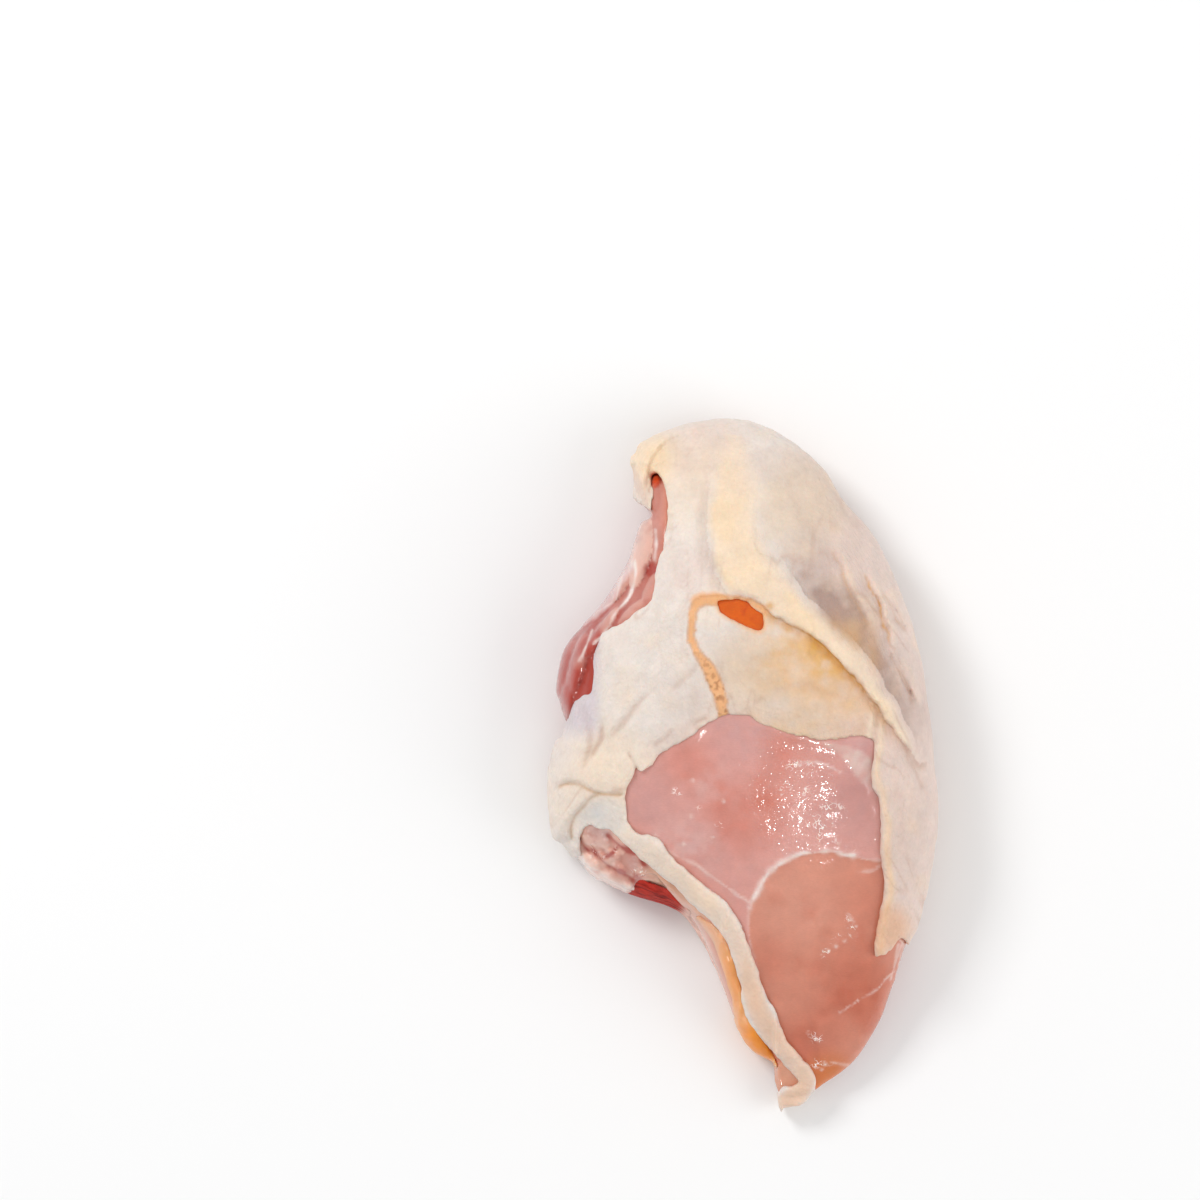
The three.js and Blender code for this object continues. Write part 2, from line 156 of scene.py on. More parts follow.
def rounded(angle, r, rho):
    """rho, but without the outline's small bends away from the rim."""
    even = sum(reach(angle + k) for k in (-16, -8, 0, 8, 16)) / 5
    return lerp(r / even, rho, np.clip(rho, 0, 1) ** 6)


def plan(x, y):
    """Bearing in degrees and rho, 0 at CENTRE and 1 at the rim."""
    dx, dy = x - CENTRE[0], y - CENTRE[1]
    angle = np.degrees(np.arctan2(dy, dx)) % 360
    r = np.hypot(dx, dy)
    return angle, r, r / reach(angle)


def out_of_cave(x, y):
    """0 in the middle of the rib side's hollow, 1 at its rim."""
    return (((x - RIB_CAVE["x"]) / RIB_CAVE["half_width"]) ** 2
            + ((y - RIB_CAVE["y"]) / RIB_CAVE["half_length"]) ** 2)


def cave_height(x, y):
    return RIB_CAVE["depth"] * np.clip(1 - out_of_cave(x, y), 0, None) ** 1.5


def top_height(x, y):
    angle, r, rho = plan(x, y)
    edge = through(RIM, angle)
    out = np.minimum(rounded(angle, r, rho), 1)
    return edge + (through(CREST, y) - edge) * np.sqrt(np.clip(1 - out ** DOME, 0, None))


# ---- Small mathematics ----

def lerp(a, b, t):
    """a where t is 0 and b where it is 1."""
    return a + (b - a) * t


def soft(low, high, x):
    """0 below low, 1 above high, smooth between."""
    t = np.clip((x - low) / (high - low), 0, 1)
    return t * t * (3 - 2 * t)


def bell(distance, width):
    """1 on a line and fading to 0 beside it."""
    return np.exp(-(distance / width) ** 2)


def blend_min(a, b, k):
    """The smaller of two distances, rounded over k."""
    h = np.clip(0.5 + 0.5 * (b - a) / k, 0, 1)
    return b + (a - b) * h - k * h * (1 - h)


def blend_max(a, b, k):
    """The larger of two distances, rounded over k."""
    return -blend_min(-a, -b, k)


def carve(body, tool, k):
    """A body with a tool's shape cut out of it."""
    return blend_max(body, -tool.astype(np.float32), k)


def to_line(x, y, path, reach=None):
    """Distance from plan points to a polyline, how far along it (0..1), and on which side.

    Points further off than reach are only known to be that far.
    """
    shape = np.shape(x)
    x, y = np.ravel(x), np.ravel(y)
    far = 1e3 if reach is None else reach
    dist = np.full(x.shape, float(far))
    along = np.zeros_like(dist)
    side = np.ones_like(dist)
    low, high = path.min(0) - far, path.max(0) + far
    near_by = np.nonzero((x > low[0]) & (x < high[0]) & (y > low[1]) & (y < high[1]))[0]
    px, py = x[near_by], y[near_by]
    best, where, hand = dist[near_by], along[near_by], side[near_by]
    step = np.diff(path, axis=0)
    length = np.maximum(np.hypot(*step.T), 1e-9)
    start = np.concatenate([[0], np.cumsum(length)])
    for a, s, span, at in zip(path, step, length, start):
        t = np.clip(((px - a[0]) * s[0] + (py - a[1]) * s[1]) / (span * span), 0, 1)
        dx = px - a[0] - t * s[0]
        dy = py - a[1] - t * s[1]
        gap = np.hypot(dx, dy)
        closer = gap < best
        best = np.where(closer, gap, best)
        where = np.where(closer, (at + t * span) / start[-1], where)
        hand = np.where(closer, np.sign(s[0] * dy - s[1] * dx), hand)
    dist[near_by], along[near_by], side[near_by] = best, where, hand
    return dist.reshape(shape), along.reshape(shape), side.reshape(shape)


def to_area(x, y, loop, reach=None):
    """Distance to a closed outline in plan, negative inside it."""
    closed = np.vstack([loop, loop[:1]])
    dist = to_line(x, y, closed, reach)[0]
    inside = np.zeros(np.shape(x), bool)
    for a, b in zip(closed[:-1], closed[1:]):
        if a[1] == b[1]:
            continue
        crosses = (a[1] > y) != (b[1] > y)
        inside ^= crosses & (x < a[0] + (y - a[1]) * (b[0] - a[0]) / (b[1] - a[1]))
    return np.where(inside, -dist, dist)


def noise(points, size, seed):
    """Smooth seeded noise from -1 to 1 at points (..., 2 or 3), with lumps of a size in mm."""
    p = np.asarray(points, float) / size
    cell = np.floor(p).astype(np.int64)
    f = p - cell
    f = f * f * f * (f * (f * 6 - 15) + 10)
    total = np.zeros(p.shape[:-1])
    table = np.random.default_rng(seed).uniform(-1, 1, 4096)
    primes = np.array([73856093, 19349663, 83492791])[:p.shape[-1]]
    for corner in itertools.product((0, 1), repeat=p.shape[-1]):
        key = ((cell + corner) * primes).sum(-1)
        key = (key ^ (key >> 13)) & 4095
        weight = np.prod(np.where(corner, f, 1 - f), axis=-1)
        total += table[key] * weight
    return total


def rough(points, size, seed, octaves=3):
    """Noise with finer noise on it."""
    return sum(noise(points, size / 2 ** k, seed + k) / 2 ** k for k in range(octaves)) / 1.75


# ---- Fields and their meshes ----

class Field:
    """A block of space, sampled every step mm."""

    def __init__(self, low, high, step):
        self.low = np.array(low, float)
        self.step = step
        axes = [np.arange(a, b + step, step) for a, b in zip(low, high)]
        self.x, self.y = np.meshgrid(axes[0], axes[1], indexing="ij")
        self.z = axes[2][None, None, :].astype(np.float32)
        self.shape = tuple(len(a) for a in axes)

    def distance(self, implicit):
        """An implicit function as a distance in mm, close to its surface."""
        slopes = np.gradient(implicit, self.step)
        size = np.sqrt(sum(s * s for s in slopes))
        return implicit / np.maximum(size, 1e-3)


def skin_of(values, field, smooth=2):
    """The surface where values cross zero: vertices in mm and quads, faces outward."""
    values = values.astype(np.float32)
    inside = values < 0
    n = np.array(inside.shape) - 1
    corners = list(itertools.product((0, 1), repeat=3))
    count = np.zeros(n, np.int8)
    for i, j, k in corners:
        count += inside[i:n[0] + i, j:n[1] + j, k:n[2] + k]
    active = (count > 0) & (count < 8)
    cells = np.argwhere(active)
    index = np.full(active.shape, -1, np.int32)
    index[active] = np.arange(len(cells))
    total = np.zeros((len(cells), 3))
    hits = np.zeros(len(cells))
    for a in corners:
        for axis in range(3):
            if a[axis]:
                continue
            b = list(a)
            b[axis] = 1
            va = values[tuple((cells + a).T)]
            vb = values[tuple((cells + b).T)]
            crosses = (va < 0) != (vb < 0)
            t = np.where(crosses, va / np.where(crosses, va - vb, 1), 0)
            at = np.tile(np.array(a, float), (len(cells), 1))
            at[:, axis] = t
            total += np.where(crosses[:, None], at, 0)
            hits += crosses
    vertices = cells + total / hits[:, None]

    quads = []
    for axis in range(3):
        u, v = [(1, 2), (2, 0), (0, 1)][axis]
        first = [slice(1, -1)] * 3
        second = [slice(1, -1)] * 3
        first[axis] = slice(0, -1)
        second[axis] = slice(1, None)
        a, b = inside[tuple(first)], inside[tuple(second)]
        for flips, way in ((a & ~b, 1), (b & ~a, -1)):
            base = np.argwhere(flips)
            base[:, u] += 1
            base[:, v] += 1
            loop = []
            for du, dv in ((-1, -1), (0, -1), (0, 0), (-1, 0))[::way]:
                c = base.copy()
                c[:, u] += du
                c[:, v] += dv
                loop.append(index[tuple(c.T)])
            quads.append(np.stack(loop, 1))
    quads = np.vstack(quads)

    ends = np.vstack([quads[:, [0, 1]], quads[:, [1, 2]], quads[:, [2, 3]], quads[:, [3, 0]]])
    for _ in range(smooth):
        around = np.zeros_like(vertices)
        ties = np.bincount(ends[:, 0], minlength=len(vertices))
        for axis in range(3):
            around[:, axis] = np.bincount(ends[:, 0], vertices[ends[:, 1], axis], len(vertices))
        vertices = lerp(vertices, around / np.maximum(ties, 1)[:, None], 0.5)
    return field.low + vertices * field.step, quads


def normals_of(vertices, quads):
    d1 = vertices[quads[:, 2]] - vertices[quads[:, 0]]
    d2 = vertices[quads[:, 3]] - vertices[quads[:, 1]]
    face = np.cross(d1, d2)
    out = np.zeros_like(vertices)
    for c in range(4):
        for axis in range(3):
            out[:, axis] += np.bincount(quads[:, c], face[:, axis], len(vertices))
    return out / np.maximum(np.linalg.norm(out, axis=1), 1e-9)[:, None]


def make_piece(name, vertices, faces, material, paints):
    """A mesh object from millimetres, with its paints as vertex attributes."""
    mesh = bpy.data.meshes.new(name)
    mesh.vertices.add(len(vertices))
    mesh.vertices.foreach_set("co", (np.asarray(vertices) * MM).astype(np.float32).ravel())
    sides = faces.shape[1]
    mesh.loops.add(faces.size)
    mesh.loops.foreach_set("vertex_index", faces.astype(np.int32).ravel())
    mesh.polygons.add(len(faces))
    mesh.polygons.foreach_set("loop_start", np.arange(0, faces.size, sides, dtype=np.int32))
    mesh.update(calc_edges=True)
    mesh.validate()
    mesh.polygons.foreach_set("use_smooth", np.ones(len(mesh.polygons), bool))
    for key, value in paints.items():
        layer = mesh.attributes.new(key, "FLOAT", "POINT")
        layer.data.foreach_set("value", np.clip(value, 0, 1).astype(np.float32))
    mesh.materials.append(material)
    piece = bpy.data.objects.new(name, mesh)
    bpy.context.scene.collection.objects.link(piece)
    return piece


def thin_out(piece):
    """Merges a piece's flattest faces until it has no more than MOST_TRIANGLES."""
    triangles = sum(len(face.vertices) - 2 for face in piece.data.polygons)
    if triangles > MOST_TRIANGLES:
        fewer = piece.modifiers.new("fewer", "DECIMATE")
        fewer.ratio = MOST_TRIANGLES / triangles
        bpy.context.view_layer.objects.active = piece
        bpy.ops.object.modifier_apply(modifier=fewer.name)


def body_distance(field):
    """Signed distance to the meat's body, in mm, negative inside."""
    x, y, z = field.x, field.y, field.z
    angle, r, rho = plan(x, y)
    edge = through(RIM, angle)[..., None].astype(np.float32)
    high = through(CREST, y)[..., None].astype(np.float32)
    out = rounded(angle, r, rho)
    cave = cave_height(x, y)[..., None].astype(np.float32)
    pressed = FOOT * np.clip(1 - rho ** TUCK, 0, None)[..., None]
    top = ((z - edge) / (high - edge)) ** 2 + (out ** DOME)[..., None] - 1
    under = ((edge - z + cave - pressed) / edge) ** 2 + (rho ** TUCK)[..., None] - 1
    upper = field.distance(top.astype(np.float32))
    lower = field.distance(under.astype(np.float32))
    side = soft(-1.5, 1.5, z - edge)
    d = lerp(lower, upper, side)
    slope = np.gradient(cave[..., 0], field.step)
    lean = np.sqrt(1 + slope[0] ** 2 + slope[1] ** 2)[..., None]
    return blend_max(d, (cave - z) / lean, 1.2).astype(np.float32)


# ---- Lines and areas of the photograph, in its pixels ----

LEFT = (720, 640)                 # where the skin's left side begins, and where it is whole
RIGHT = (790, 880)

# The skin's torn outline, clockwise: over the shoulder and the outer flank, back along the window
# that bares the meat, down the band on the keel edge, and up the cut flank.
SKIN_EDGE = [
    (540, 360), (1050, 360), (1050, 920), (935, 925), (921, 930), (913, 937), (909, 946),
    (905, 941), (902, 936), (899, 936), (896, 940), (893, 945), (891, 953), (888, 950),
    (885, 955), (879, 955), (873, 959),
    (874, 945), (875, 930), (877, 918), (879, 905), (882, 893), (882, 880), (880, 865),
    (878, 850), (878, 820), (877, 805), (875, 795), (870, 788), (868, 780), (868, 770),
    (870, 755), (871, 740), (862, 735), (850, 736), (835, 738), (820, 739), (808, 739),
    (803, 735), (790, 734), (780, 731), (770, 727), (760, 723), (753, 720), (748, 716),
    (735, 714), (727, 714), (718, 716), (713, 720), (706, 722), (700, 726), (692, 734),
    (680, 741), (670, 747), (660, 752), (652, 762), (642, 770), (638, 770), (634, 762),
    (634, 771), (632, 777), (627, 785), (625, 795), (627, 808), (628, 820), (633, 828),
    (640, 832), (648, 832), (657, 835), (660, 838), (668, 850), (675, 858), (685, 867),
    (695, 876), (703, 883), (712, 890), (722, 897), (730, 906), (737, 917), (742, 928),
    (746, 940), (753, 957), (758, 970), (760, 980), (765, 992), (771, 1003), (776, 1012),
    (780, 1022), (784, 1035), (790, 1045), (800, 1056), (808, 1065), (814, 1073), (817, 1082),
    (817, 1090), (812, 1099), (808, 1106), (806, 1130), (785, 1130), (779, 1106), (778, 1098),
    (780, 1092), (785, 1088), (792, 1088), (799, 1084), (793, 1076), (785, 1068),
    (778, 1058), (770, 1050), (762, 1041),
    (755, 1033), (747, 1026), (742, 1015), (741, 1000), (740, 985), (735, 968), (731, 955),
    (727, 942), (720, 932), (712, 922), (702, 913), (693, 905), (685, 897), (677, 888),
    (668, 880), (658, 872), (650, 865), (640, 858), (633, 850), (625, 842), (617, 835),
    (610, 829), (600, 829), (591, 824), (584, 828), (580, 837), (581, 847), (583, 856),
    (575, 860), (540, 875), (500, 875), (500, 740), (560, 738), (570, 710), (576, 690),
    (573, 680), (577, 665), (583, 655), (592, 643), (601, 633), (612, 627), (618, 625),
    (630, 618), (636, 610), (646, 605), (651, 600), (654, 585), (655, 570), (658, 559),
    (662, 550), (665, 535), (667, 520), (667, 505), (665, 490), (662, 480), (657, 473),
    (652, 475), (651, 482), (654, 491), (652, 500), (651, 508), (649, 516), (641, 508),
    (632, 497), (627, 484), (625, 470), (622, 455), (560, 440),
]
SKIN_HOLE = [
    (716, 602), (721, 600), (735, 600), (743, 601), (751, 608), (761, 613), (761, 621),
    (759, 630), (752, 629), (745, 626), (737, 622), (727, 617), (719, 611),
]
WINDOW_TOP = [
    (871, 738), (850, 736), (820, 739), (797, 735), (770, 727), (748, 716), (727, 714),
    (706, 722), (692, 734), (670, 747), (656, 757),
]

# The thick fold that runs from the shoulder over the crest and down the outer flank.
RIDGE_LOWER = [
    (716, 432), (711, 465), (708, 490), (706, 520), (706, 545), (710, 565), (717, 582),
    (726, 594), (743, 599), (760, 606), (770, 615), (780, 621), (790, 626), (800, 631),
    (812, 638), (820, 644), (828, 652), (836, 660), (842, 668), (850, 677), (862, 692),
    (874, 708), (885, 725), (898, 741), (908, 752), (918, 764),
]
RIDGE_UPPER = [
    (757, 440), (763, 470), (765, 500), (764, 520), (767, 540), (775, 553), (783, 563),
    (790, 575), (797, 585), (805, 596), (815, 605), (825, 614), (838, 627), (850, 638),
    (858, 648), (866, 657), (874, 668), (880, 678), (887, 690), (894, 700), (900, 712),
    (906, 722), (913, 740), (919, 762),
]

# The band of skin left on the keel edge: its middle, from the corner to the tail.
BAND = [
    (610, 808), (620, 824), (636, 842), (652, 852), (672, 868), (694, 890), (717, 910),
    (733, 932), (744, 958), (751, 985), (758, 1008), (770, 1030), (786, 1050), (800, 1068),
    (804, 1082), (798, 1096), (788, 1104),
]

# The rolled edge of the flap that hangs down the outer flank.
FLAP_EDGE = [
    (880, 706), (875, 714), (873, 728), (871, 740), (870, 755), (868, 770), (868, 780),
    (870, 788), (875, 795), (877, 805), (878, 820), (878, 850), (880, 865), (882, 880),
    (882, 893), (879, 905), (877, 918), (875, 930), (874, 945), (873, 957),
]

# Creases in the skin: the line, half its width and its depth, in mm.
CREASES = [
    ([(886, 650), (891, 662), (898, 674), (905, 686), (911, 699)], 0.38, 0.7),
    ([(906, 758), (915, 775), (922, 790)], 0.8, 0.3),
    ([(590, 757), (597, 745), (601, 738), (602, 722)], 1.0, 0.7),
    ([(608, 738), (620, 725), (640, 700), (652, 690)], 0.9, 0.4),
    ([(580, 700), (588, 722), (590, 745), (582, 770)], 1.3, 0.5),
    ([(652, 745), (665, 736), (672, 728)], 0.6, 0.4),
    ([(690, 724), (698, 719), (708, 715)], 0.6, 0.5),
    ([(637, 768), (633, 760), (628, 752)], 0.6, 0.6),
    ([(700, 655), (690, 672), (668, 690)], 1.2, 0.25),
    ([(770, 690), (800, 684), (835, 696)], 1.6, 0.2),
]
# Raised pleats: the line, half the width and the height in mm, and how strong the amber painted
# shade in its hollow is.
PLEATS = [
    ([(833, 545), (838, 556), (845, 570), (850, 584), (856, 597), (866, 612), (876, 626)],
     1.3, 0.95, 0.35),
    ([(868, 568), (872, 580), (876, 592), (883, 604), (886, 620), (891, 634), (893, 648)],
     1.2, 1.3, 0.9),
    ([(884, 585), (892, 600), (902, 616), (912, 634)], 1.4, 0.8, 0.2),
    ([(897, 655), (906, 672), (912, 690), (920, 708)], 1.3, 0.7, 0.1),
    ([(800, 470), (806, 500), (818, 530)], 2.4, 0.35, 0.0),
    ([(905, 770), (910, 810), (912, 850)], 2.2, 0.35, 0.0),
    ([(890, 775), (894, 820), (896, 870)], 1.8, 0.3, 0.0),
    ([(668, 600), (660, 630), (640, 655)], 1.8, 0.3, 0.0),
    ([(655, 668), (640, 690), (622, 706)], 1.4, 0.35, 0.0),
]
# Where skin lies folded over: the line, the side that is on top (1 is left of it), height in mm.
FOLDS = [
    ([(556, 789), (562, 784), (570, 782), (580, 783), (590, 788), (600, 791), (615, 792),
      (626, 791)], 1, 1.1),
    ([(602, 791), (592, 795), (585, 803), (577, 812), (572, 820), (570, 830), (572, 842)], -1, 1.2),
]

# Plump places in the skin: middle, half length and half width in pixels, bearing, height in mm.
LOBES = [
    ((608, 768), 30, 17, -8, 1.1), ((572, 768), 17, 14, 20, 0.7), ((560, 815), 34, 9, 100, 1.1),
    ((572, 848), 10, 6, 40, 0.8), ((890, 652), 7, 5, 60, 0.7),
    ((641, 484), 10, 22, 0, 0.8), ((806, 1076), 14, 9, 70, 0.8),
    ((640, 722), 26, 16, 60, 0.5), ((888, 748), 14, 7, 60, 0.6),
]

FILM_AREA = [
    (574, 818), (592, 800), (608, 798), (620, 808), (624, 822), (618, 832), (600, 829),
    (590, 822), (582, 830),
]
TURNED_AREA = [
    (632, 464), (645, 464), (653, 470), (652, 482), (655, 491), (651, 502), (649, 513),
    (640, 503), (632, 488), (628, 475),
]
HOLE_TOP = [(694, 600), (706, 596), (722, 599), (736, 599), (750, 603), (760, 610), (759, 626)]
PIT = ((654, 477), 7, 5, 60)
VEIN = [
    (722, 601), (712, 600), (702, 601), (694, 606), (691, 618), (690, 635), (694, 648),
    (700, 658), (707, 668), (713, 680), (717, 692), (720, 704), (722, 715),
]

# The meat's own lines and films.
FASCIA_EDGE = [
    (749, 905), (752, 897), (757, 888), (762, 878), (768, 870), (775, 864), (782, 859),
    (790, 855), (800, 851), (812, 850), (822, 849), (832, 849), (840, 852), (852, 853),
]
FASCIA_FAINT = [(850, 853), (862, 857), (872, 858), (882, 859)]
FASCIA_LINE = [
    (668, 849), (672, 852), (682, 857), (694, 862), (705, 870), (715, 877), (727, 886),
    (738, 894), (745, 897), (750, 904),
]
UPPER_FILM = FASCIA_EDGE + FASCIA_FAINT + [
    (905, 858), (905, 690), (600, 690), (600, 820), (650, 870), (700, 920), (745, 985),
    (758, 975), (753, 955), (750, 943), (748, 930), (748, 915),
]
LOWER_BORDER = [(750, 904), (748, 915), (748, 930), (750, 943), (754, 957)]
FILM_PATCH = [
    (818, 740), (836, 742), (852, 746), (868, 756), (872, 770), (872, 790), (862, 784),
    (852, 774), (846, 764), (836, 754), (826, 747),
]
FILM_LINE = [(793, 763), (808, 760), (824, 763), (839, 771)]
SPARKLES = [
    ((787, 795), 11, 17, 0), ((805, 792), 6, 9, 0), ((826, 824), 24, 27, 0),
    ((808, 822), 8, 6, 0), ((805, 766), 34, 7, 10), ((835, 846), 20, 5, 0),
    ((840, 934), 14, 4, -35), ((824, 951), 6, 4, -30), ((816, 1038), 8, 6, 20),
    ((822, 1066), 14, 7, 0), ((693, 808), 8, 5, 0), ((720, 822), 7, 4, 0), ((676, 790), 6, 5, 0),
    ((850, 925), 5, 14, -20), ((600, 850), 12, 7, 30), ((640, 870), 12, 6, 35),
]


def line(points, closed=False):
    return smooth_line(traced(points), closed, per=5)


def to_curve(x, y, points, reach=6):
    """to_line, for a smooth curve through places of the photograph."""
    return to_line(x, y, line(points), reach)


def to_patch(x, y, points, reach=8):
    """to_area, for a smooth outline through places of the photograph."""
    return to_area(x, y, line(points, True), reach)


def lobe(x, y, place):
    """1 at the middle of an oval on the photograph, 0 at its rim and outside."""
    (px, py), long, wide, bearing = place[:4]
    cx, cy = traced((px, py))
    turn = math.radians(bearing)
    dx, dy = x - cx, cy - y
    u = (dx * math.cos(turn) + dy * math.sin(turn)) / (long * PIXEL)
    v = (dy * math.cos(turn) - dx * math.sin(turn)) / (wide * PIXEL)
    return np.clip(1 - u * u - v * v, 0, 1)


def grain(x, y, bearing, size, stretch, seed):
    """Noise drawn out along a bearing of the photograph, in degrees anticlockwise from right."""
    turn = math.radians(bearing)
    u = x * math.cos(turn) + y * math.sin(turn)
    v = y * math.cos(turn) - x * math.sin(turn)
    return rough(np.stack([u / stretch, v], -1), size, seed, 2)


def near(x, y, spot, radius, inner=0.0):
    """1 around a point of the photograph, fading to 0 at a radius in pixels."""
    cx, cy = traced(spot)
    return soft(radius * PIXEL, inner * PIXEL, np.hypot(x - cx, y - cy))


# ---- The skin's map ----

def skin_area(x, y):
    """Distance in plan to the skin's torn edge, negative where there is skin."""
    p = np.stack([x, y], -1)
    ragged = (0.35 + 0.5 * near(x, y, (892, 950), 40, 12)) * rough(p, 2.6, 41)
    ragged += 0.16 * noise(p, 1.3, 40)
    edge = to_area(x, y, traced(SKIN_EDGE), reach=9.0) + ragged
    hole = to_area(x, y, traced(SKIN_HOLE), reach=9.0) + 1.1 * ragged
    return np.maximum(edge, -hole)


def ridge_map(x, y):
    """The big fold: its height in mm, and paints 0 to 1: how close its lower edge's undercut is,
    which carries painted amber shade, with painted shade in the groove under that edge and beside
    the upper edge.
    """
    lower, upper = line(RIDGE_LOWER), line(RIDGE_UPPER)
    d_low, along, _ = to_line(x, y, lower, reach=14)
    d_up, up_along, _ = to_line(x, y, upper, reach=14)
    inside = to_area(x, y, np.vstack([lower, upper[::-1]]), reach=14) < 0
    p = np.stack([x, y], -1)
    uneven = 0.55 * noise(p, 5.5, 62) + 0.4 * noise(p, 2.2, 63)
    signed_low = np.where(inside, d_low, -d_low) + uneven
    signed_up = np.where(inside, d_up, -d_up) + 0.8 * noise(p, 4.5, 64)
    inside = (signed_low > 0) & (signed_up > 0)
    d_low, d_up = np.abs(signed_low), np.abs(signed_up)
    sharp = soft(0.34, 0.5, along)
    rise_low = d_low / through([(0, 6), (0.3, 3), (0.42, 2.4), (0.55, 2.2), (1, 1.6)], along)
    rise_up = d_up / through([(0, 8), (0.25, 7), (0.4, 5.5), (0.6, 4.6), (1, 3.6)], up_along)

    def profile(t, crisp):
        t = np.clip(t, 0, 1)
        return lerp(soft(0, 1, t), np.sqrt(1 - (1 - t) ** 2), crisp)

    high = through([(0, 0.1), (0.2, 0.9), (0.36, 1.4), (0.5, 2.0), (0.8, 2.1), (0.92, 1.4),
                    (1, 0.2)], along)
    height = high * profile(rise_low, sharp) * profile(rise_up, 0.15 * sharp)
    height = height * (1 + 0.16 * noise(p, 6, 65)) + 0.12 * sharp * rough(p, 2.4, 66, 2)
    below = ~inside & (d_low < d_up)
    above = ~inside & (d_up <= d_low)
    groove = np.where(below, bell(d_low, 1.7) * sharp, 0)
    valley = np.where(above, bell(d_up, 7) * soft(0.2, 0.45, up_along)
                      * soft(1.0, 0.7, up_along), 0)
    soft_side = np.where(below, bell(d_low, 2.5) * (1 - sharp)
                         * soft(0.05, 0.2, along), 0)
    relief = np.where(inside, height, -0.7 * groove - 0.9 * valley - 0.45 * soft_side)
    patchy = 0.65 + 0.5 * noise(p, 4, 67) + 0.3 * noise(p, 1.6, 68)
    # Amber painted shade in the undercut below the fold's sharp lower edge, and a thin shade line
    # along it.
    amber_and_shade = np.where(below, 0.9 * bell(d_low, 2.0), 0) * patchy
    amber_and_shade = amber_and_shade * soft(0.44, 0.56, along) * soft(0.98, 0.72, along)
    line_here = soft(0.95, 0.7, along) * (0.55 + 0.5 * noise(p, 7, 74))
    amber_and_shade += np.where(below | inside, 0.7 * bell(d_low, 0.4), 0) * sharp * line_here
    glow = np.where(below, bell(d_low, 6), 0) * patchy
    glow = glow * soft(0.42, 0.52, along) * soft(0.9, 0.7, along)
    # beside: painted shade, greyer skin in the dip beside the fold's upper edge
    beside = np.where(above, bell(d_up, 9), 0) * soft(0.28, 0.5, up_along)
    beside *= soft(1.02, 0.85, up_along)
    return relief, dict(ridge=np.where(inside, profile(rise_low, sharp) * profile(rise_up, 0), 0),
                        beside=beside, amber_and_shade=amber_and_shade, glow=glow, groove_shade=groove + 0.5 * soft_side)


def threads(x, y, bearing, size, stretch, seed):
    """Fine broken lines drawn out along a bearing: 1 on a line, 0 between them."""
    wave = grain(x, y, bearing, size, stretch, seed)
    broken = soft(-0.1, 0.35, noise(np.stack([x, y], -1), 3.5 * size, seed + 7))
    return bell(wave, 0.09) * broken


def press_creases(x, y, relief):
    """Presses the creases into the relief, and gives how deep in one each place is, 0 to 1: the
    mask for the shade painted into them.
    """
    crease = np.zeros_like(x)
    wander = noise(np.stack([x, y], -1), 4, 46)
    for points, wide, deep in CREASES:
        dist, along, _ = to_curve(x, y, points)
        dist += 0.35 * wander
        ends = lerp(0.35, 1, soft(0, 0.15, along) * soft(1, 0.85, along))
        cut = bell(dist, wide) * ends
        lips = bell(dist - 2.2 * wide, 1.1 * wide) * ends
        relief += deep * (0.45 * lips - cut)
        crease = np.maximum(crease, cut ** 1.5 * min(1, deep + 0.15))
    return crease


def raise_pleats(x, y, relief):
    """Raises the pleats on the relief, each with a valley on its right. Gives three paints: the
    pleats, the amber painted shade in their hollows and the painted shade in their valleys."""
    p = np.stack([x, y], -1)
    wander = noise(p, 4, 46)
    jitter = noise(p, 1.7, 71)
    pleated, hollow, valley_shade = np.zeros((3, *x.shape))
    for points, wide, high, tinge in PLEATS:
        dist, along, side = to_curve(x, y, points)
        across = dist * side + 0.5 * wander + 0.35 * jitter
        ends = soft(0, 0.2, along) * soft(1, 0.8, along) * (0.8 + 0.4 * jitter)
        fold = bell(across, wide) * ends
        valley = bell(across + 1.6 * wide, 0.6 * wide) * ends
        relief += high * (fold - 0.7 * valley)
        pleated = np.maximum(pleated, fold * min(1, high))
        hollow = np.maximum(hollow, tinge * bell(across + 1.5 * wide, 0.32) * ends)
        valley_shade = np.maximum(valley_shade, 0.5 * valley * high)
    return pleated, hollow, valley_shade


def lay_folds(x, y, relief):
    """Steps the relief up to the side of each fold that lies on top. Gives the folds' edges, a mask
    for shade painted along them.
    """
    fold = np.zeros_like(x)
    faint = 0.75 + 0.5 * noise(np.stack([x, y], -1), 3.5, 69)
    for points, high_side, deep in FOLDS:
        dist, along, side = to_curve(x, y, points, 7)
        over = side * high_side * dist
        ends = soft(0, 0.1, along) * soft(1.01, 0.9, along)
        relief += deep * ends * (soft(-0.5, 0.7, over) * bell(dist, 4.5)
                                 - 0.45 * bell(dist, 0.8))
        fold = np.maximum(fold, bell(over + 0.3, 0.45) * ends * faint)
    return fold


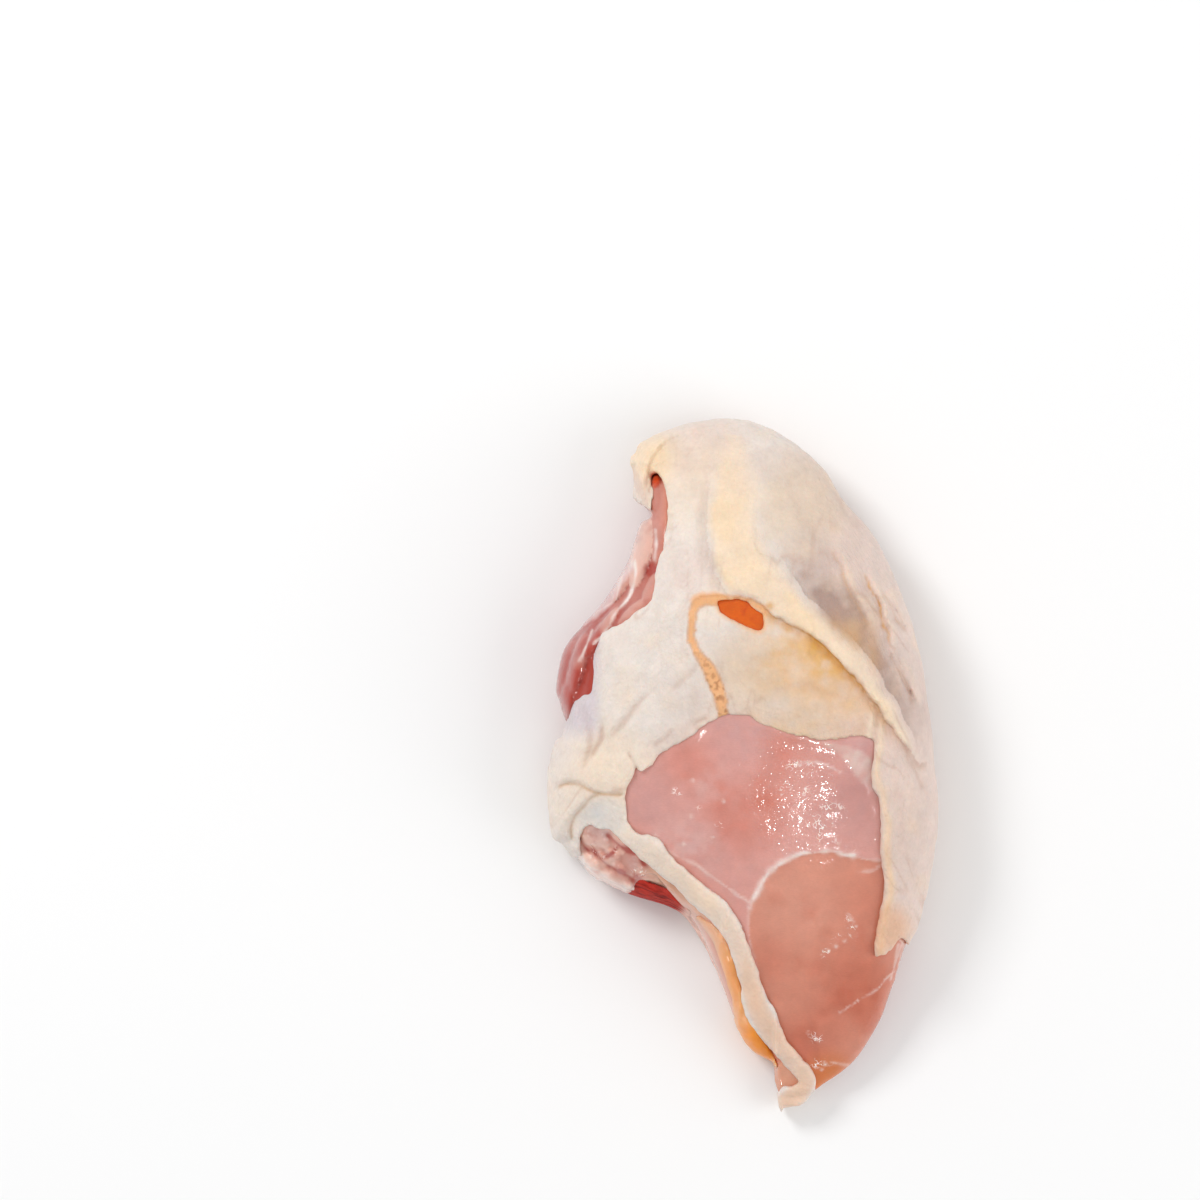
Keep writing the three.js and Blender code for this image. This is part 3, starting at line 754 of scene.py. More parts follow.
def skin_map(x, y):
    """How the skin's face stands over the even skin, its thickness, and its paints."""
    p = np.stack([x, y], -1)
    px, py = pixels(x, y)
    right = soft(*RIGHT, px)
    left = soft(*LEFT, px)
    middle = (1 - left) * (1 - right)
    relief, paint = ridge_map(x, y)

    # Lumps, and fine wrinkles along the skin's own run on each side.
    relief = relief + 0.3 * noise(p, 19, 11) + 0.15 * noise(p, 8, 12)
    relief += left * 0.26 * grain(x, y, 55, 2.6, 4, 13)
    relief += right * 0.26 * grain(x, y, -62, 2.8, 5, 14)
    relief += middle * 0.18 * grain(x, y, 82, 2.4, 4, 15)
    relief += 0.06 * rough(p, 1.8, 16, 2)
    fine = (left * threads(x, y, 55, 3.4, 4, 17) + right * threads(x, y, -60, 3.2, 5, 18)
            + 0.7 * middle * threads(x, y, 84, 3.4, 4, 19))
    band, band_along, _ = to_curve(x, y, BAND, 12)
    fine *= soft(3.5, 6, band)
    relief -= 0.28 * fine

    # Painted shade: the skin is tinted darker in its fine wrinkles, creases and pleat valleys.
    crease = np.maximum(0.55 * fine, press_creases(x, y, relief))
    pleated, hollow, valley_shade = raise_pleats(x, y, relief)
    crease = np.maximum(crease, valley_shade)
    fold = lay_folds(x, y, relief)
    for place in LOBES:
        relief += place[4] * lobe(x, y, place) ** 0.7
    relief = relief + 1.7 * near(x, y, (640, 450), 40, 6) + 0.9 * near(x, y, (632, 478), 26, 6)

    # The band on the keel edge.
    band_wide = through([(0, 3.2), (0.15, 3.8), (0.3, 3.4), (0.6, 3.1), (0.85, 3.6), (1, 3.2)],
                        band_along)
    strip = np.clip(1 - (band / band_wide) ** 2, 0, 1) * soft(0.0, 0.16, band_along)
    relief = relief + 0.9 * np.sqrt(strip) + 0.25 * strip * noise(p, 4.5, 47)

    # The rolled edge of the flap on the outer flank.
    flap, along, side = to_curve(x, y, FLAP_EDGE, 10)
    roll = bell(flap - 1.7 - 0.5 * noise(p, 6, 48), 1.2) * soft(0, 0.08, along)
    relief += 0.9 * roll
    above = soft(-0.6, 0.6, side * flap) * soft(3.0, 0.0, flap)
    relief += 0.7 * above * soft(745, 735, py) * soft(700, 716, py)

    # The raised line by the hole.
    vein, along, _ = to_curve(x, y, VEIN, 5)
    vein_wide = through([(0, 1.5), (0.25, 1.15), (0.5, 1.1), (0.75, 1.9), (1, 1.4)], along)
    vein += 0.5 * rough(p, 1.6, 43, 2)
    track = soft(vein_wide + 0.3, vein_wide - 0.5, vein)
    edged = bell(vein - vein_wide, 0.4)
    relief = relief + track * (0.14 + 0.18 * noise(p, 1.2, 44)) - 0.15 * edged

    # Thin skin over the bare meat's upper edge and at the left, and the film at the corner.
    window = to_curve(x, y, WINDOW_TOP, 12)[0]
    thin = soft(8, 0.5, window)
    band_left = soft(606, 590, px) * soft(745, 720, py) * soft(600, 640, py)
    film = soft(2.0, -2.2, to_patch(x, y, FILM_AREA))
    thick = SKIN - 0.95 * np.maximum(thin, 0.8 * band_left) - 0.7 * film
    relief = lerp(relief, -0.1 + 0.2 * noise(p, 2.6, 49), 0.85 * film)

    # The place at the shoulder where the skin is turned over, its pit, and the hole's rim.
    turned = soft(0.5, -1.4, to_patch(x, y, TURNED_AREA))
    relief -= 0.8 * turned
    pit = lobe(x, y, PIT)
    relief -= 0.6 * pit
    hole = to_line(x, y, smooth_line(traced(SKIN_HOLE), True, 4), reach=6)[0]
    top_rim = to_curve(x, y, HOLE_TOP, 5)[0]
    rim = np.maximum(0.6 * soft(1.8, 0.2, hole), soft(2.0, 0.3, top_rim + 0.5 * noise(p, 1.8, 50)))
    relief += 0.3 * rim
    paint.update(
        crease=crease, fold=fold, band=np.sqrt(strip), roll=roll, vein=track, film=film,
        turned=turned, pit=pit, rim=rim, edged=edged, thin=thin, lavender=band_left,
        hollow=hollow, pleated=pleated,
        speck=track * soft(0.25, 0.6, noise(p, 0.9, 45)) * soft(630, 690, py),
    )
    return relief, thick, paint


def spots(x, y, places):
    """Round soft spots, added up: how much, the place and radius in pixels, and how far full."""
    return sum(amount * near(x, y, (px, py), *radii) for amount, px, py, *radii in places)


SKIN_SPOTS = dict(
    fat=[(0.5, 690, 480, 80), (0.6, 610, 765, 60, 10), (0.9, 650, 455, 40, 10),
         (0.25, 565, 800, 50, 10)],
    under_ridge=[(0.45, 815, 655, 75, 20)],
    gold=[(1, 824, 651, 38, 4)],
    blush=[(0.45, 705, 450, 70)],
    faint_blush=[(0.35, 690, 570, 45)],
    # grey: thin skin over meat, and painted shade beside the fold and down the outer flank
    grey_and_shade=[(0.9, 838, 614, 44, 6), (0.35, 805, 560, 50), (0.2, 885, 690, 50),
          (0.25, 690, 700, 60), (0.15, 905, 830, 90)],
    warm=[(0.9, 745, 668, 60, 12), (0.8, 800, 500, 75, 15), (0.7, 800, 718, 60, 10),
          (0.5, 640, 850, 30)],
    peach=[(1, 886, 928, 36, 10)],
    amber_and_shade=[(0.8, 767, 606, 7)],
    knot=[(0.5, 889, 652, 9)],
    bluish=[(1, 597, 812, 17)],
)


def skin_paints(x, y, normal):
    """Where each colour lies on the skin, 0 to 1."""
    p = np.stack([x, y], -1)
    px, py = pixels(x, y)
    m = skin_map(x, y)[2]
    spot = {paint: spots(x, y, places) for paint, places in SKIN_SPOTS.items()}
    mottle = rough(p, 9, 51)
    fine = rough(p, 3, 52)
    smooth = (1 - m["ridge"]) * (1 - 0.9 * m["roll"]) * (1 - m["band"])
    under_ridge = soft(600, 650, py) * soft(715, 775, px + 12 * mottle) * soft(748, 738, py)
    under_ridge = under_ridge * soft(885, 865, px) * (0.55 + spot["under_ridge"])
    fat = m["ridge"] * (0.4 + 0.6 * soft(430, 510, py)) + 0.3 * m["pleated"] + 0.35 * m["band"]
    fat = (fat + 0.7 * m["roll"] + spot["fat"]) * (0.85 + 0.3 * mottle)
    fat += 0.22 * soft(0.1, 0.7, mottle)
    yellow = under_ridge * (0.55 + 0.45 * mottle + 0.3 * fine) * smooth
    yellow += 0.35 * m["roll"] * soft(800, 880, py)
    gold = spot["gold"] * soft(-0.7, 0.3, fine + mottle) * smooth * (0.3 + 1.6 * m["glow"])
    blush = (0.65 * soft(770, 850, px) + spot["faint_blush"]) * smooth + spot["blush"]
    blush = blush + 0.3 * m["band"] * soft(860, 960, py) + 0.6 * m["turned"]
    blush += 0.25 * soft(0.2, 0.8, -mottle)
    # Painted light: a paler tint near the rim of the steep outer flank, which falls away from the
    # lamps.
    flank_painted_light = soft(0.78, 0.98, plan(x, y)[2]) * soft(850, 890, px)
    # Grey: partly thin skin over meat, partly painted shade beside the fold and down the outer
    # flank.
    grey_and_shade = (0.8 * m["beside"] + spot["grey_and_shade"]) * smooth * (1 - 0.7 * m["pleated"])
    grey_and_shade *= (0.82 + 0.35 * fine + 0.4 * grain(x, y, -60, 5, 3, 57))
    peach = m["band"] * soft(920, 1000, py) * (0.5 + 0.3 * mottle) + spot["peach"]
    peach = peach + 0.2 * m["band"] * soft(820, 870, py) + 0.4 * m["roll"] * soft(720, 780, py)
    # Amber: painted shade under the fold, in the pleats' hollows and at folded edges, with the
    # skin's own amber by the hole and at the knot.
    amber_and_shade = m["amber_and_shade"] + 0.5 * m["fold"] + m["hollow"] + spot["amber_and_shade"]
    amber_and_shade += spot["knot"] * soft(-0.2, 0.4, noise(p, 1.6, 70))
    same = ("glow", "lavender", "vein", "speck", "film", "pit", "rim", "thin", "edged")
    return {key: m[key] for key in same} | dict(
        fat=fat, yellow=yellow, gold=gold, warm=spot["warm"] * smooth, peach=peach,
        left=soft(*LEFT, px), right=soft(*RIGHT, px), blush=blush, grey_and_shade=grey_and_shade, flank_painted_light=flank_painted_light,
        # painted shade in the creases, the groove under the fold and along the folded skin's edges
        amber_and_shade=amber_and_shade, crease=m["crease"] + m["groove_shade"] * 0.7 + 0.4 * m["fold"],
        bluish=spot["bluish"] * m["film"], inner=soft(0.2, -0.4, normal[:, 2]),
    )


# ---- The meat's map ----

# Muscle on the cut flank and by the keel: middle, half length and half width in pixels, bearing,
# height in mm, and how pale it is.
MUSCLES = [
    ((659, 522), 42, 9, 95, 1.7, 0.0), ((652, 498), 24, 10, 95, 2.2, 0.0),
    ((641, 552), 38, 11, 104, 2.0, 0.8), ((650, 592), 20, 7, 108, 1.3, 0.1),
    ((634, 612), 22, 7, 138, 1.2, 0.2),
    ((622, 584), 20, 6, 118, 1.3, 0.5), ((598, 636), 36, 6, 125, 1.4, 0.3),
    ((578, 664), 34, 8, 104, 1.6, 0.2), ((566, 706), 26, 7, 95, 1.2, 0.0),
    ((600, 841), 10, 7, 20, 1.3, 0.5), ((613, 854), 9, 6, 40, 1.4, 0.4),
    ((619, 867), 9, 5, 40, 1.2, 0.3), ((604, 858), 7, 4, 45, 1.0, 0.1),
    ((588, 838), 8, 6, 70, 0.9, 0.2), ((636, 862), 11, 5, 36, 1.0, 0.1),
    ((643, 876), 8, 4, 30, 0.9, 0.0), ((591, 862), 12, 6, 42, 1.1, 0.9),
    ((611, 877), 13, 5, 32, 1.0, 0.9), ((628, 886), 9, 4, 30, 0.8, 0.8),
]
FLANK_FILM = [(629, 566), (618, 580), (612, 592), (602, 606), (586, 620)]
FLANK_THREAD = [
    (635, 560), (635, 577), (629, 597), (616, 612), (609, 626), (603, 636), (594, 643),
]
FLANK_STRANDS = [
    [(625, 566), (619, 586), (616, 599)], [(617, 599), (607, 606), (598, 611), (583, 619)],
    [(592, 630), (587, 644), (580, 660)], [(655, 530), (656, 545), (654, 558)],
]
LACE = [
    [(908, 926), (904, 939), (898, 955), (895, 966), (891, 980)],
    [(898, 944), (896, 955), (894, 968)], [(912, 932), (906, 948), (899, 966), (896, 984)],
    [(846, 912), (850, 917), (855, 925)], [(899, 938), (904, 946), (901, 957)],
]
SLAB_EDGE = [(650, 517), (641, 522), (637, 532), (634, 545), (632, 562), (626, 580)]
FLESH_RIM = [
    (579, 853), (586, 866), (597, 876), (608, 881), (620, 886), (632, 891), (642, 897),
]
CUTS = [
    [(593, 850), (603, 861), (613, 868), (624, 873), (634, 881)],
    [(578, 836), (584, 846), (590, 852)],
    [(608, 834), (622, 846), (634, 852), (646, 864), (656, 874)],
    [(603, 857), (611, 853), (617, 846)],
]
CUT_BONE = [
    (630, 893), (637, 881), (645, 874), (654, 873), (661, 881), (670, 892), (683, 907),
    (690, 914), (672, 924), (640, 914),
]
TAN_BAND = [(652, 869), (664, 879), (677, 890), (690, 903), (704, 918)]
TAIL_LINE = [(825, 1063), (838, 1065), (850, 1068)]
FLANK_LINE = [
    (900, 969), (892, 974), (885, 980), (880, 987), (872, 993), (862, 998), (847, 1008),
    (840, 1013),
]
SHORT_LINE = [(858, 869), (870, 869), (879, 863)]
NOTCH = [(600, 497), (640, 504), (648, 510), (652, 515), (648, 519), (640, 521), (600, 530)]

# White fascia: the line, half its width and its height in mm, and how white it is.
FASCIA = [
    (FASCIA_EDGE, 0.7, 0.4, 1.0), (FASCIA_FAINT, 0.4, 0.2, 0.45), (FASCIA_LINE, 0.36, 0.25, 0.6),
    (LOWER_BORDER, 0.4, 0.15, 0.3), (TAIL_LINE, 0.35, 0.2, 0.5), (FLANK_LINE, 0.26, 0.2, 0.6),
    (SHORT_LINE, 0.35, 0.1, 0.5), (FLANK_THREAD, 0.4, 0.3, 1.0), (SLAB_EDGE, 0.4, 0.3, 0.4),
    (FLESH_RIM, 1.2, 0.6, 0.8), (FILM_LINE, 0.3, 0.3, 0.5),
]
FASCIA += [(strand, 0.4, 0.4, 0.8) for strand in FLANK_STRANDS]
FASCIA += [(strand, 0.3, 0.35, 0.6) for strand in LACE]
FLESH_AREA = [
    (568, 826), (590, 820), (612, 828), (640, 852), (660, 871), (684, 908), (640, 900),
    (585, 882), (556, 850),
]
KEEL_RIM = [(682, 912), (698, 936), (710, 964), (719, 992), (729, 1020), (740, 1047)]
SLOT = ((656, 480), 9, 5, 100)
GRAINS = ((789, 1078), 20, 13)
FLECKS = [(674, 790), (690, 814), (692, 778), (712, 834), (655, 834), (722, 799), (683, 842),
          (821, 952), (827, 949), (835, 945), (843, 939), (809, 1033), (813, 1037), (818, 1040),
          (826, 1066), (823, 1072)]


def meat_map(x, y):
    """How the meat's top stands over its even body, in mm, and its paints."""
    p = np.stack([x, y], -1)
    px, py = pixels(x, y)
    relief = 0.22 * noise(p, 14, 21) + 0.08 * noise(p, 5, 22)
    upper = soft(0.3, -0.3, to_patch(x, y, UPPER_FILM))
    relief = relief + 0.4 * upper + 0.1 * (1 - upper) * grain(x, y, 62, 2.2, 8, 23)
    relief += upper * 0.08 * grain(x, y, 20, 3, 5, 24)

    # White fascia, its flecks, and the films on it.
    white = np.zeros_like(x)
    for points, wide, high, strength in FASCIA:
        dist = to_curve(x, y, points)[0] + 0.25 * noise(p, 2.6, 29)
        wave = np.maximum(wide * (1 + 0.55 * noise(p, 2.2, 25)), 0.2)
        mark = bell(dist, wave) * (0.8 + 0.35 * noise(p, 3, 26))
        relief += high * mark
        white = np.maximum(white, strength * mark)
    flecks = sum(near(x, y, spot, 3.4, 0.6) for spot in FLECKS)
    flecks *= soft(-0.5, 0.3, noise(p, 0.9, 77))
    relief += 0.25 * flecks
    white = np.maximum(white, 0.5 * flecks)
    blue = to_curve(x, y, FLANK_FILM)[0]
    blue = soft(2.3, 1.0, blue + 0.7 * noise(p, 2.4, 34))
    relief += 0.5 * blue

    patch = soft(0.4, -0.9, to_patch(x, y, FILM_PATCH, 6))
    relief += patch * (0.1 + 0.2 * grain(x, y, 45, 1.6, 4, 27))

    # The cut flank and the flesh by the keel, with their muscles and cuts.
    flank = soft(672, 655, px + 0.2 * np.clip(py - 560, 0, 200)) * soft(740, 715, py)
    flesh = soft(1.0, -1.0, to_patch(x, y, FLESH_AREA))
    bulge = soft(610, 655, py) * soft(735, 690, py) * soft(615, 590, px)
    relief = relief - 1.1 * flank + 2.8 * bulge + 0.7 * flesh
    lump = np.zeros_like(x)
    pale = np.zeros_like(x)
    for place in MUSCLES:
        rise = place[4] * np.sqrt(lobe(x, y, place))
        pale = np.where(rise > lump, place[5], pale)
        lump = np.maximum(lump, rise)
    relief += lump
    relief += flank * 0.2 * grain(x, y, 75, 1.8, 6, 28)
    relief += flesh * (0.45 * rough(p, 2.6, 35) + 0.2 * grain(x, y, -40, 1.6, 3, 36))
    cuts = np.zeros_like(x)
    for points in CUTS:
        dist = to_curve(x, y, points, 4)[0] + 0.3 * noise(p, 2, 37)
        cuts = np.maximum(cuts, bell(dist, 0.65))
    relief -= 0.5 * cuts
    tan = to_curve(x, y, TAN_BAND)[0]
    tan = bell(tan, 2.2)

    # What shows in the skin's hole and slot, the tail's grains, and the film's wrinkles.
    orange = soft(1.5, -0.2, to_patch(x, y, SKIN_HOLE))
    relief += 0.5 * orange
    slot = lobe(x, y, SLOT) ** 0.4
    relief += 1.3 * slot
    grains = near(x, y, *GRAINS)
    relief += grains * (1.8 + 0.7 * noise(p, 1.5, 73))
    brim = bell(skin_area(x, y), 1.6)
    relief += 0.45 * brim
    # Where the film is wrinkled: bump for the coat's glints, and the mask for white highlights
    # painted into the colour.
    sparkle = np.zeros_like(x)
    for place in SPARKLES:
        sparkle = np.maximum(sparkle, lobe(x, y, place))
    sparkle = np.sqrt(sparkle) * soft(-0.5, 0.3, noise(p, 2.5, 38))
    relief += 0.3 * sparkle * rough(p, 1.5, 39, 2)
    return relief, dict(
        upper=upper, white=white, blue=blue,
        patch=patch * (0.75 + 0.7 * grain(x, y, 45, 1.8, 3, 80)), flank=flank, flesh=flesh,
        lump=lump, pale=pale * soft(0.1, 0.7, lump), cuts=cuts, tan=tan, orange=orange, slot=slot,
        sparkle=sparkle, grains=grains)


def rib_distance(x, y):
    """Distance in plan to the nearest rib."""
    best = np.full(np.shape(x), 8.0)
    for rib in range(RIBS):
        path = np.array([rib_place(rib, t) for t in np.linspace(0, 1, 9)])
        best = np.minimum(best, to_line(x, y, path, reach=8)[0])
    return best


def rib_side_relief(x, y):
    """The rib side's own lumps, in mm."""
    p = np.stack([x, y], -1)
    relief = 0.5 * noise(p, 11, 31) + 0.25 * rough(p, 4, 32)
    rib = rib_distance(x, y)
    relief = relief + 0.9 * bell(rib, 3.2) - 0.5 * bell(rib - 5.5, 2)
    hollow = soft(1.0, 0.7, out_of_cave(x, y))
    return relief * 0.8 + hollow * 0.35 * grain(x, y, 20, 1.8, 6, 33)


MEAT_SPOTS = dict(
    violet=[(0.9, 740, 732, 50), (0.8, 650, 798, 45), (0.9, 862, 748, 40), (0.9, 850, 800, 52),
            (0.3, 700, 845, 40)],
    warm=[(1.2, 745, 808, 60), (0.5, 690, 762, 45), (0.6, 785, 750, 50)],
    dusk=[(0.8, 852, 805, 60, 10), (0.4, 820, 760, 45)],
    veil=[(1, 600, 830, 20, 4), (0.8, 634, 858, 13)],
    film=[(0.7, 690, 842, 48), (0.6, 705, 780, 40), (0.5, 662, 838, 26)],
    # deep: darker salmon, partly random tone, partly painted shade where the lower meat falls away
    # to the right
    deep=[(0.9, 858, 985, 75), (0.8, 805, 1050, 60), (0.4, 770, 960, 40), (0.3, 868, 900, 50)],
    # light: a painted lighter patch on the lit left part of the lower meat
    light=[(1, 790, 900, 75)],
    red=[(1.2, 567, 692, 36), (0.6, 590, 640, 26), (0.6, 648, 570, 9, 2), (0.9, 610, 595, 14),
         (0.5, 566, 700, 30, 10), (0.5, 636, 880, 12)],
    raw=[(0.8, 632, 868, 30)],
    tail=[(1, 830, 1082, 40, 8), (0.3, 793, 1083, 9)],
    ember=[(1, 744, 613, 22, 4)],
)


def meat_paints(x, y, z, normal):
    p = np.stack([x, y], -1)
    py = pixels(x, y)[1]
    m = meat_map(x, y)[1]
    spot = {paint: spots(x, y, places) for paint, places in MEAT_SPOTS.items()}
    solid = noise(np.stack([x, y, z], -1), 5, 79)
    top = soft(-0.8, 0.0, normal[:, 2] + 0.35 * solid)
    mottle = rough(p, 10, 53)
    fine = rough(p, 3.2, 54)
    lower = 1 - m["upper"]
    red = spot["red"] + 0.85 * m["cuts"] + 0.6 * soft(0.5, 0, m["lump"]) * m["flank"]
    red += 0.4 * m["flesh"] * soft(0.05, 0.7, rough(p, 2.6, 58) + spot["raw"])
    red += m["flank"] * (0.75 * soft(600, 650, py) + 0.3 * soft(0, 0.6, fine))
    red = red * (1 - m["blue"]) * (1 - 0.8 * m["tan"]) * (0.85 + 0.45 * solid)
    rib = rib_distance(x, y)
    rim = to_curve(x, y, KEEL_RIM, 8)[0]
    same = ("upper", "white", "blue", "grains", "patch", "flank", "flesh", "pale", "tan",
            "orange", "slot", "sparkle")
    above = {key: m[key] for key in same} | dict(
        violet=spot["violet"] * (0.8 + 0.6 * fine), veil=m["flesh"] * spot["veil"],
        dusk=spot["dusk"] * m["upper"] * (0.85 + 0.5 * mottle),
        warm=spot["warm"] * (0.8 + 0.8 * mottle),
        # deep is partly painted shade on the lower meat's right side; light is a painted lighter
        # patch on its left
        deep=(spot["deep"] + 0.4 * soft(0, 0.8, mottle)) * lower, light=spot["light"] * lower,
        film=spot["film"] * m["upper"] * soft(-0.6, 0.5, fine), red=red, tail=spot["tail"],
        ember=m["orange"] * spot["ember"] * soft(-0.4, 0.5, rough(p, 2.4, 78)),
        clear=bell(rim, 2.2),
    )
    below = dict(
        under=1, blood=soft(0.35, 0.75, rough(p, 6, 55)),
        sheath=soft(-0.1, 0.5, rough(p, 12, 56) + 0.4 * bell(rib, 2.5)),
        between=bell(rib - 5, 2.2) * (0.7 + 0.6 * grain(x, y, 65, 1.4, 4, 59)),
    )
    return ({key: paint * top for key, paint in above.items()}
            | {key: paint * (1 - top) for key, paint in below.items()})


# ---- The soft pieces ----

def tail_cap(x, y, over):
    """A height that nothing passes by the pointed tail, where the body's field is least exact."""
    return (top_height(x, y) + over + 40 * (1 - near(x, y, (797, 1094), 52, 34)))[..., None]


def bare_keel(x, y, z):
    """Distance to the outer side of the breastbone, where no meat is left on it."""
    dist, along, side = to_line(x, y, smooth_line(keel_line()[:, :2], per=3), reach=8)
    top = through(list(zip(np.linspace(0, 1, 29), keel_line()[:, 4])), along)
    beyond = np.maximum(dist * side + 0.4, dist - 5)
    return np.maximum(beyond[..., None], z - (1.85 * top + 0.9)[..., None])


def build_meat():
    field = Field((-61, -106, -1.5), (61, 106, 51), MEAT_STEP)
    x, y, z = field.x, field.y, field.z
    d = body_distance(field)
    angle = plan(x, y)[0]
    edge = through(RIM, angle)[..., None]
    over = soft(-3.0, 1.0, z - edge)
    relief = meat_map(x, y)[0][..., None] * over
    under = rib_side_relief(x, y)[..., None] * (1 - over) * soft(0.4, 2.5, z)
    d -= (relief + under).astype(np.float32)
    d = carve(d, to_patch(x, y, NOTCH)[..., None], 1.5)
    d = carve(d, tail_cap(x, y, 2.6) - z, 1.0)
    d = carve(d, np.maximum(to_patch(x, y, CUT_BONE)[..., None], -1.2 - d), 0.6)
    for bone in (CORACOID_LINE, keel_line()):
        d = carve(d, bar_distance(field, bone, 0.3), 0.6)
    d = carve(d, bare_keel(x, y, z), 0.6)
    return skin_of(d, field)


def build_skin():
    field = Field((-61, -106, 1.0), (62, 107, 53.5), SKIN_STEP)
    x, y, z = field.x, field.y, field.z
    d = body_distance(field)
    relief, thick, _ = skin_map(x, y)
    angle = plan(x, y)[0]
    level = through([(0, 6), (180, 6), (200, 3), (225, 2.2), (280, 2.2), (305, 6), (360, 6)], angle)
    hem = level + 1.6 * rough(np.stack([x, y], -1), 9, 42)
    lying = soft(0.0, 5.0, z - hem[..., None] + 2)
    face = GAP + thick[..., None] + relief[..., None] * lerp(0.35, 1, lying)
    face = np.maximum(face, GAP + np.minimum(thick, 1.35)[..., None])
    knob = bar_distance(field, np.array(TAIL_KNOB, float))
    shell = blend_min(np.maximum(d - face, GAP - d), np.maximum(knob, GAP - d), 1.0)
    rho = plan(x, y)[2]
    lowest = np.where(rho < 0.94, (top_height(x, y) + cave_height(x, y)) / 2, hem)
    bounds = np.maximum(skin_area(x, y)[..., None], lowest[..., None] - z)
    bounds = blend_max(bounds, z - tail_cap(x, y, 4.6), 1.5)
    r = 0.75
    a, b = bounds + r, shell + r
    joined = np.hypot(np.maximum(a, 0), np.maximum(b, 0)) - r + np.minimum(np.maximum(a, b), 0)
    joined = blend_max(joined, -to_patch(x, y, NOTCH)[..., None], 1.0)
    return skin_of(joined, field)


# ---- Bones and fat ----
# Tapering bars along lines of places: x, y, z, half width and half height, in mm.

def between(column, at):
    """One measure of a bar at a position along it, counted in places."""
    return through(list(zip(range(len(column)), column)), at)


def refined(places, steps):
    """The same places, more closely spaced on a smooth curve."""
    at = np.linspace(0, len(places) - 1, steps + 1)
    return np.stack([between(column, at) for column in zip(*places)], 1)


def bar_distance(field, places, grow=0.0):
    """Distance to a bar of oval section."""
    x, y, z = field.x[..., None], field.y[..., None], field.z
    best = np.full(field.shape, 1e3, np.float32)
    for a, b in zip(places[:-1], places[1:]):
        low = np.minimum(a[:3] - a[3], b[:3] - b[3]) - 5
        high = np.maximum(a[:3] + a[3], b[:3] + b[3]) + 5
        i0, i1 = ((np.array([low, high]) - field.low) / field.step).astype(int)
        i0, i1 = np.clip(i0, 0, None), np.clip(i1 + 1, 0, field.shape)
        if np.any(i1 <= i0):
            continue
        box = tuple(slice(s, e) for s, e in zip(i0, i1))
        bx, by, bz = x[box[0], box[1]], y[box[0], box[1]], z[..., box[2]]
        s = b[:3] - a[:3]
        t = ((bx - a[0]) * s[0] + (by - a[1]) * s[1] + (bz - a[2]) * s[2]) / (s @ s)
        t = np.clip(t, 0, 1)
        wide = a[3] + (b[3] - a[3]) * t + grow
        tall = a[4] + (b[4] - a[4]) * t + grow
        flat = np.hypot(bx - a[0] - t * s[0], by - a[1] - t * s[1])
        up = bz - a[2] - t * s[2]
        d = (np.hypot(flat / wide, up / tall) - 1) * np.minimum(wide, tall)
        best[box] = np.minimum(best[box], d)
    return best


def field_round(places, margin=2.5):
    """A field with room in it for a bar."""
    wide = places[:, 3:5].max()
    low, high = places[:, :3].min(0) - wide, places[:, :3].max(0) + wide
    return Field(low - margin, high + margin, BONE_STEP)


TAIL_KNOB = [
    (21.5, -91.5, 15, 2.2, 2.4), (19.5, -96, 12.5, 3.8, 3.6), (16.2, -99, 10, 4.8, 4.6),
    (14.8, -99.6, 8.5, 4.2, 4.4),
]
CORACOID_LINE = refined([
    (-41, -16, 3.6, 3.6, 3), (-40, -8, 4.4, 5.6, 4.2), (-38, 6, 3.9, 4.2, 3.7),
    (-34, 26, 3.6, 3.5, 3.4), (-28, 46, 4, 3.8, 3.8), (-22, 62, 4.9, 5, 4.7),
    (-18.5, 70, 4.2, 3.2, 3.2),
], 24)

KEEL_HEIGHT = 11.0
KEEL_THICKNESS = 3.6
KEEL = [
    (-44, -33.5), (-34, -38), (-25, -40.6), (-17.5, -44.5), (-12, -53), (-7.5, -63), (-3, -74),
    (2, -83.5),
]
KEEL_FAT = [
    (-13, -46.5, 1.0, 1.2), (-7.5, -51.5, 2.1, 1.9), (-4, -60, 2.3, 2.0),
    (-1.6, -69, 2.2, 1.9), (0.6, -77, 1.9, 1.8), (4.2, -84, 3.0, 2.4),
    (7.8, -88.4, 2.4, 2.0), (10, -91.5, 1.0, 1.0),
]
RIBS = 5
RIB_RADIUS = 2.2
RIB_START = [(-22, 14), (-21, -2), (-17, -17), (-10, -31), (-1, -44)]
RIB_END = [(30, 37), (37, 20), (39, 2), (36, -15), (29, -31)]
RIB_BOW = 4.0

# How much wider the bare part of the keel is, on each side, and how far out it stands, in mm.
KEEL_SPREAD = [0.2, 0.6, 1.0, 0.6, 0.1, 0, 0, 0]
KEEL_SHIFT = [
    (0, 0), (0.2, 0.8), (0.4, 0.9), (0.9, 0.8), (1.3, 0.5), (1.5, 0.5), (1.4, 0.5), (0.6, 0.4),
]


def keel_line():
    """The breastbone's bar, thin at both ends."""
    places = []
    for i, (x, y) in enumerate(KEEL):
        taper = math.sin(math.pi * (0.12 + 0.8 * i / (len(KEEL) - 1)))
        high = KEEL_HEIGHT / 2 * math.sqrt(taper)
        wide = KEEL_THICKNESS / 2 * math.sqrt(taper) + KEEL_SPREAD[i]
        dx, dy = KEEL_SHIFT[i]
        places.append((x + dx, y + dy, high + 0.9, wide, high))
    return refined(places, 28)


def rib_place(rib, t):
    (ax, ay), (bx, by) = RIB_START[rib], RIB_END[rib]
    return lerp(ax, bx, t), lerp(ay, by, t) + RIB_BOW * math.sin(math.pi * t)


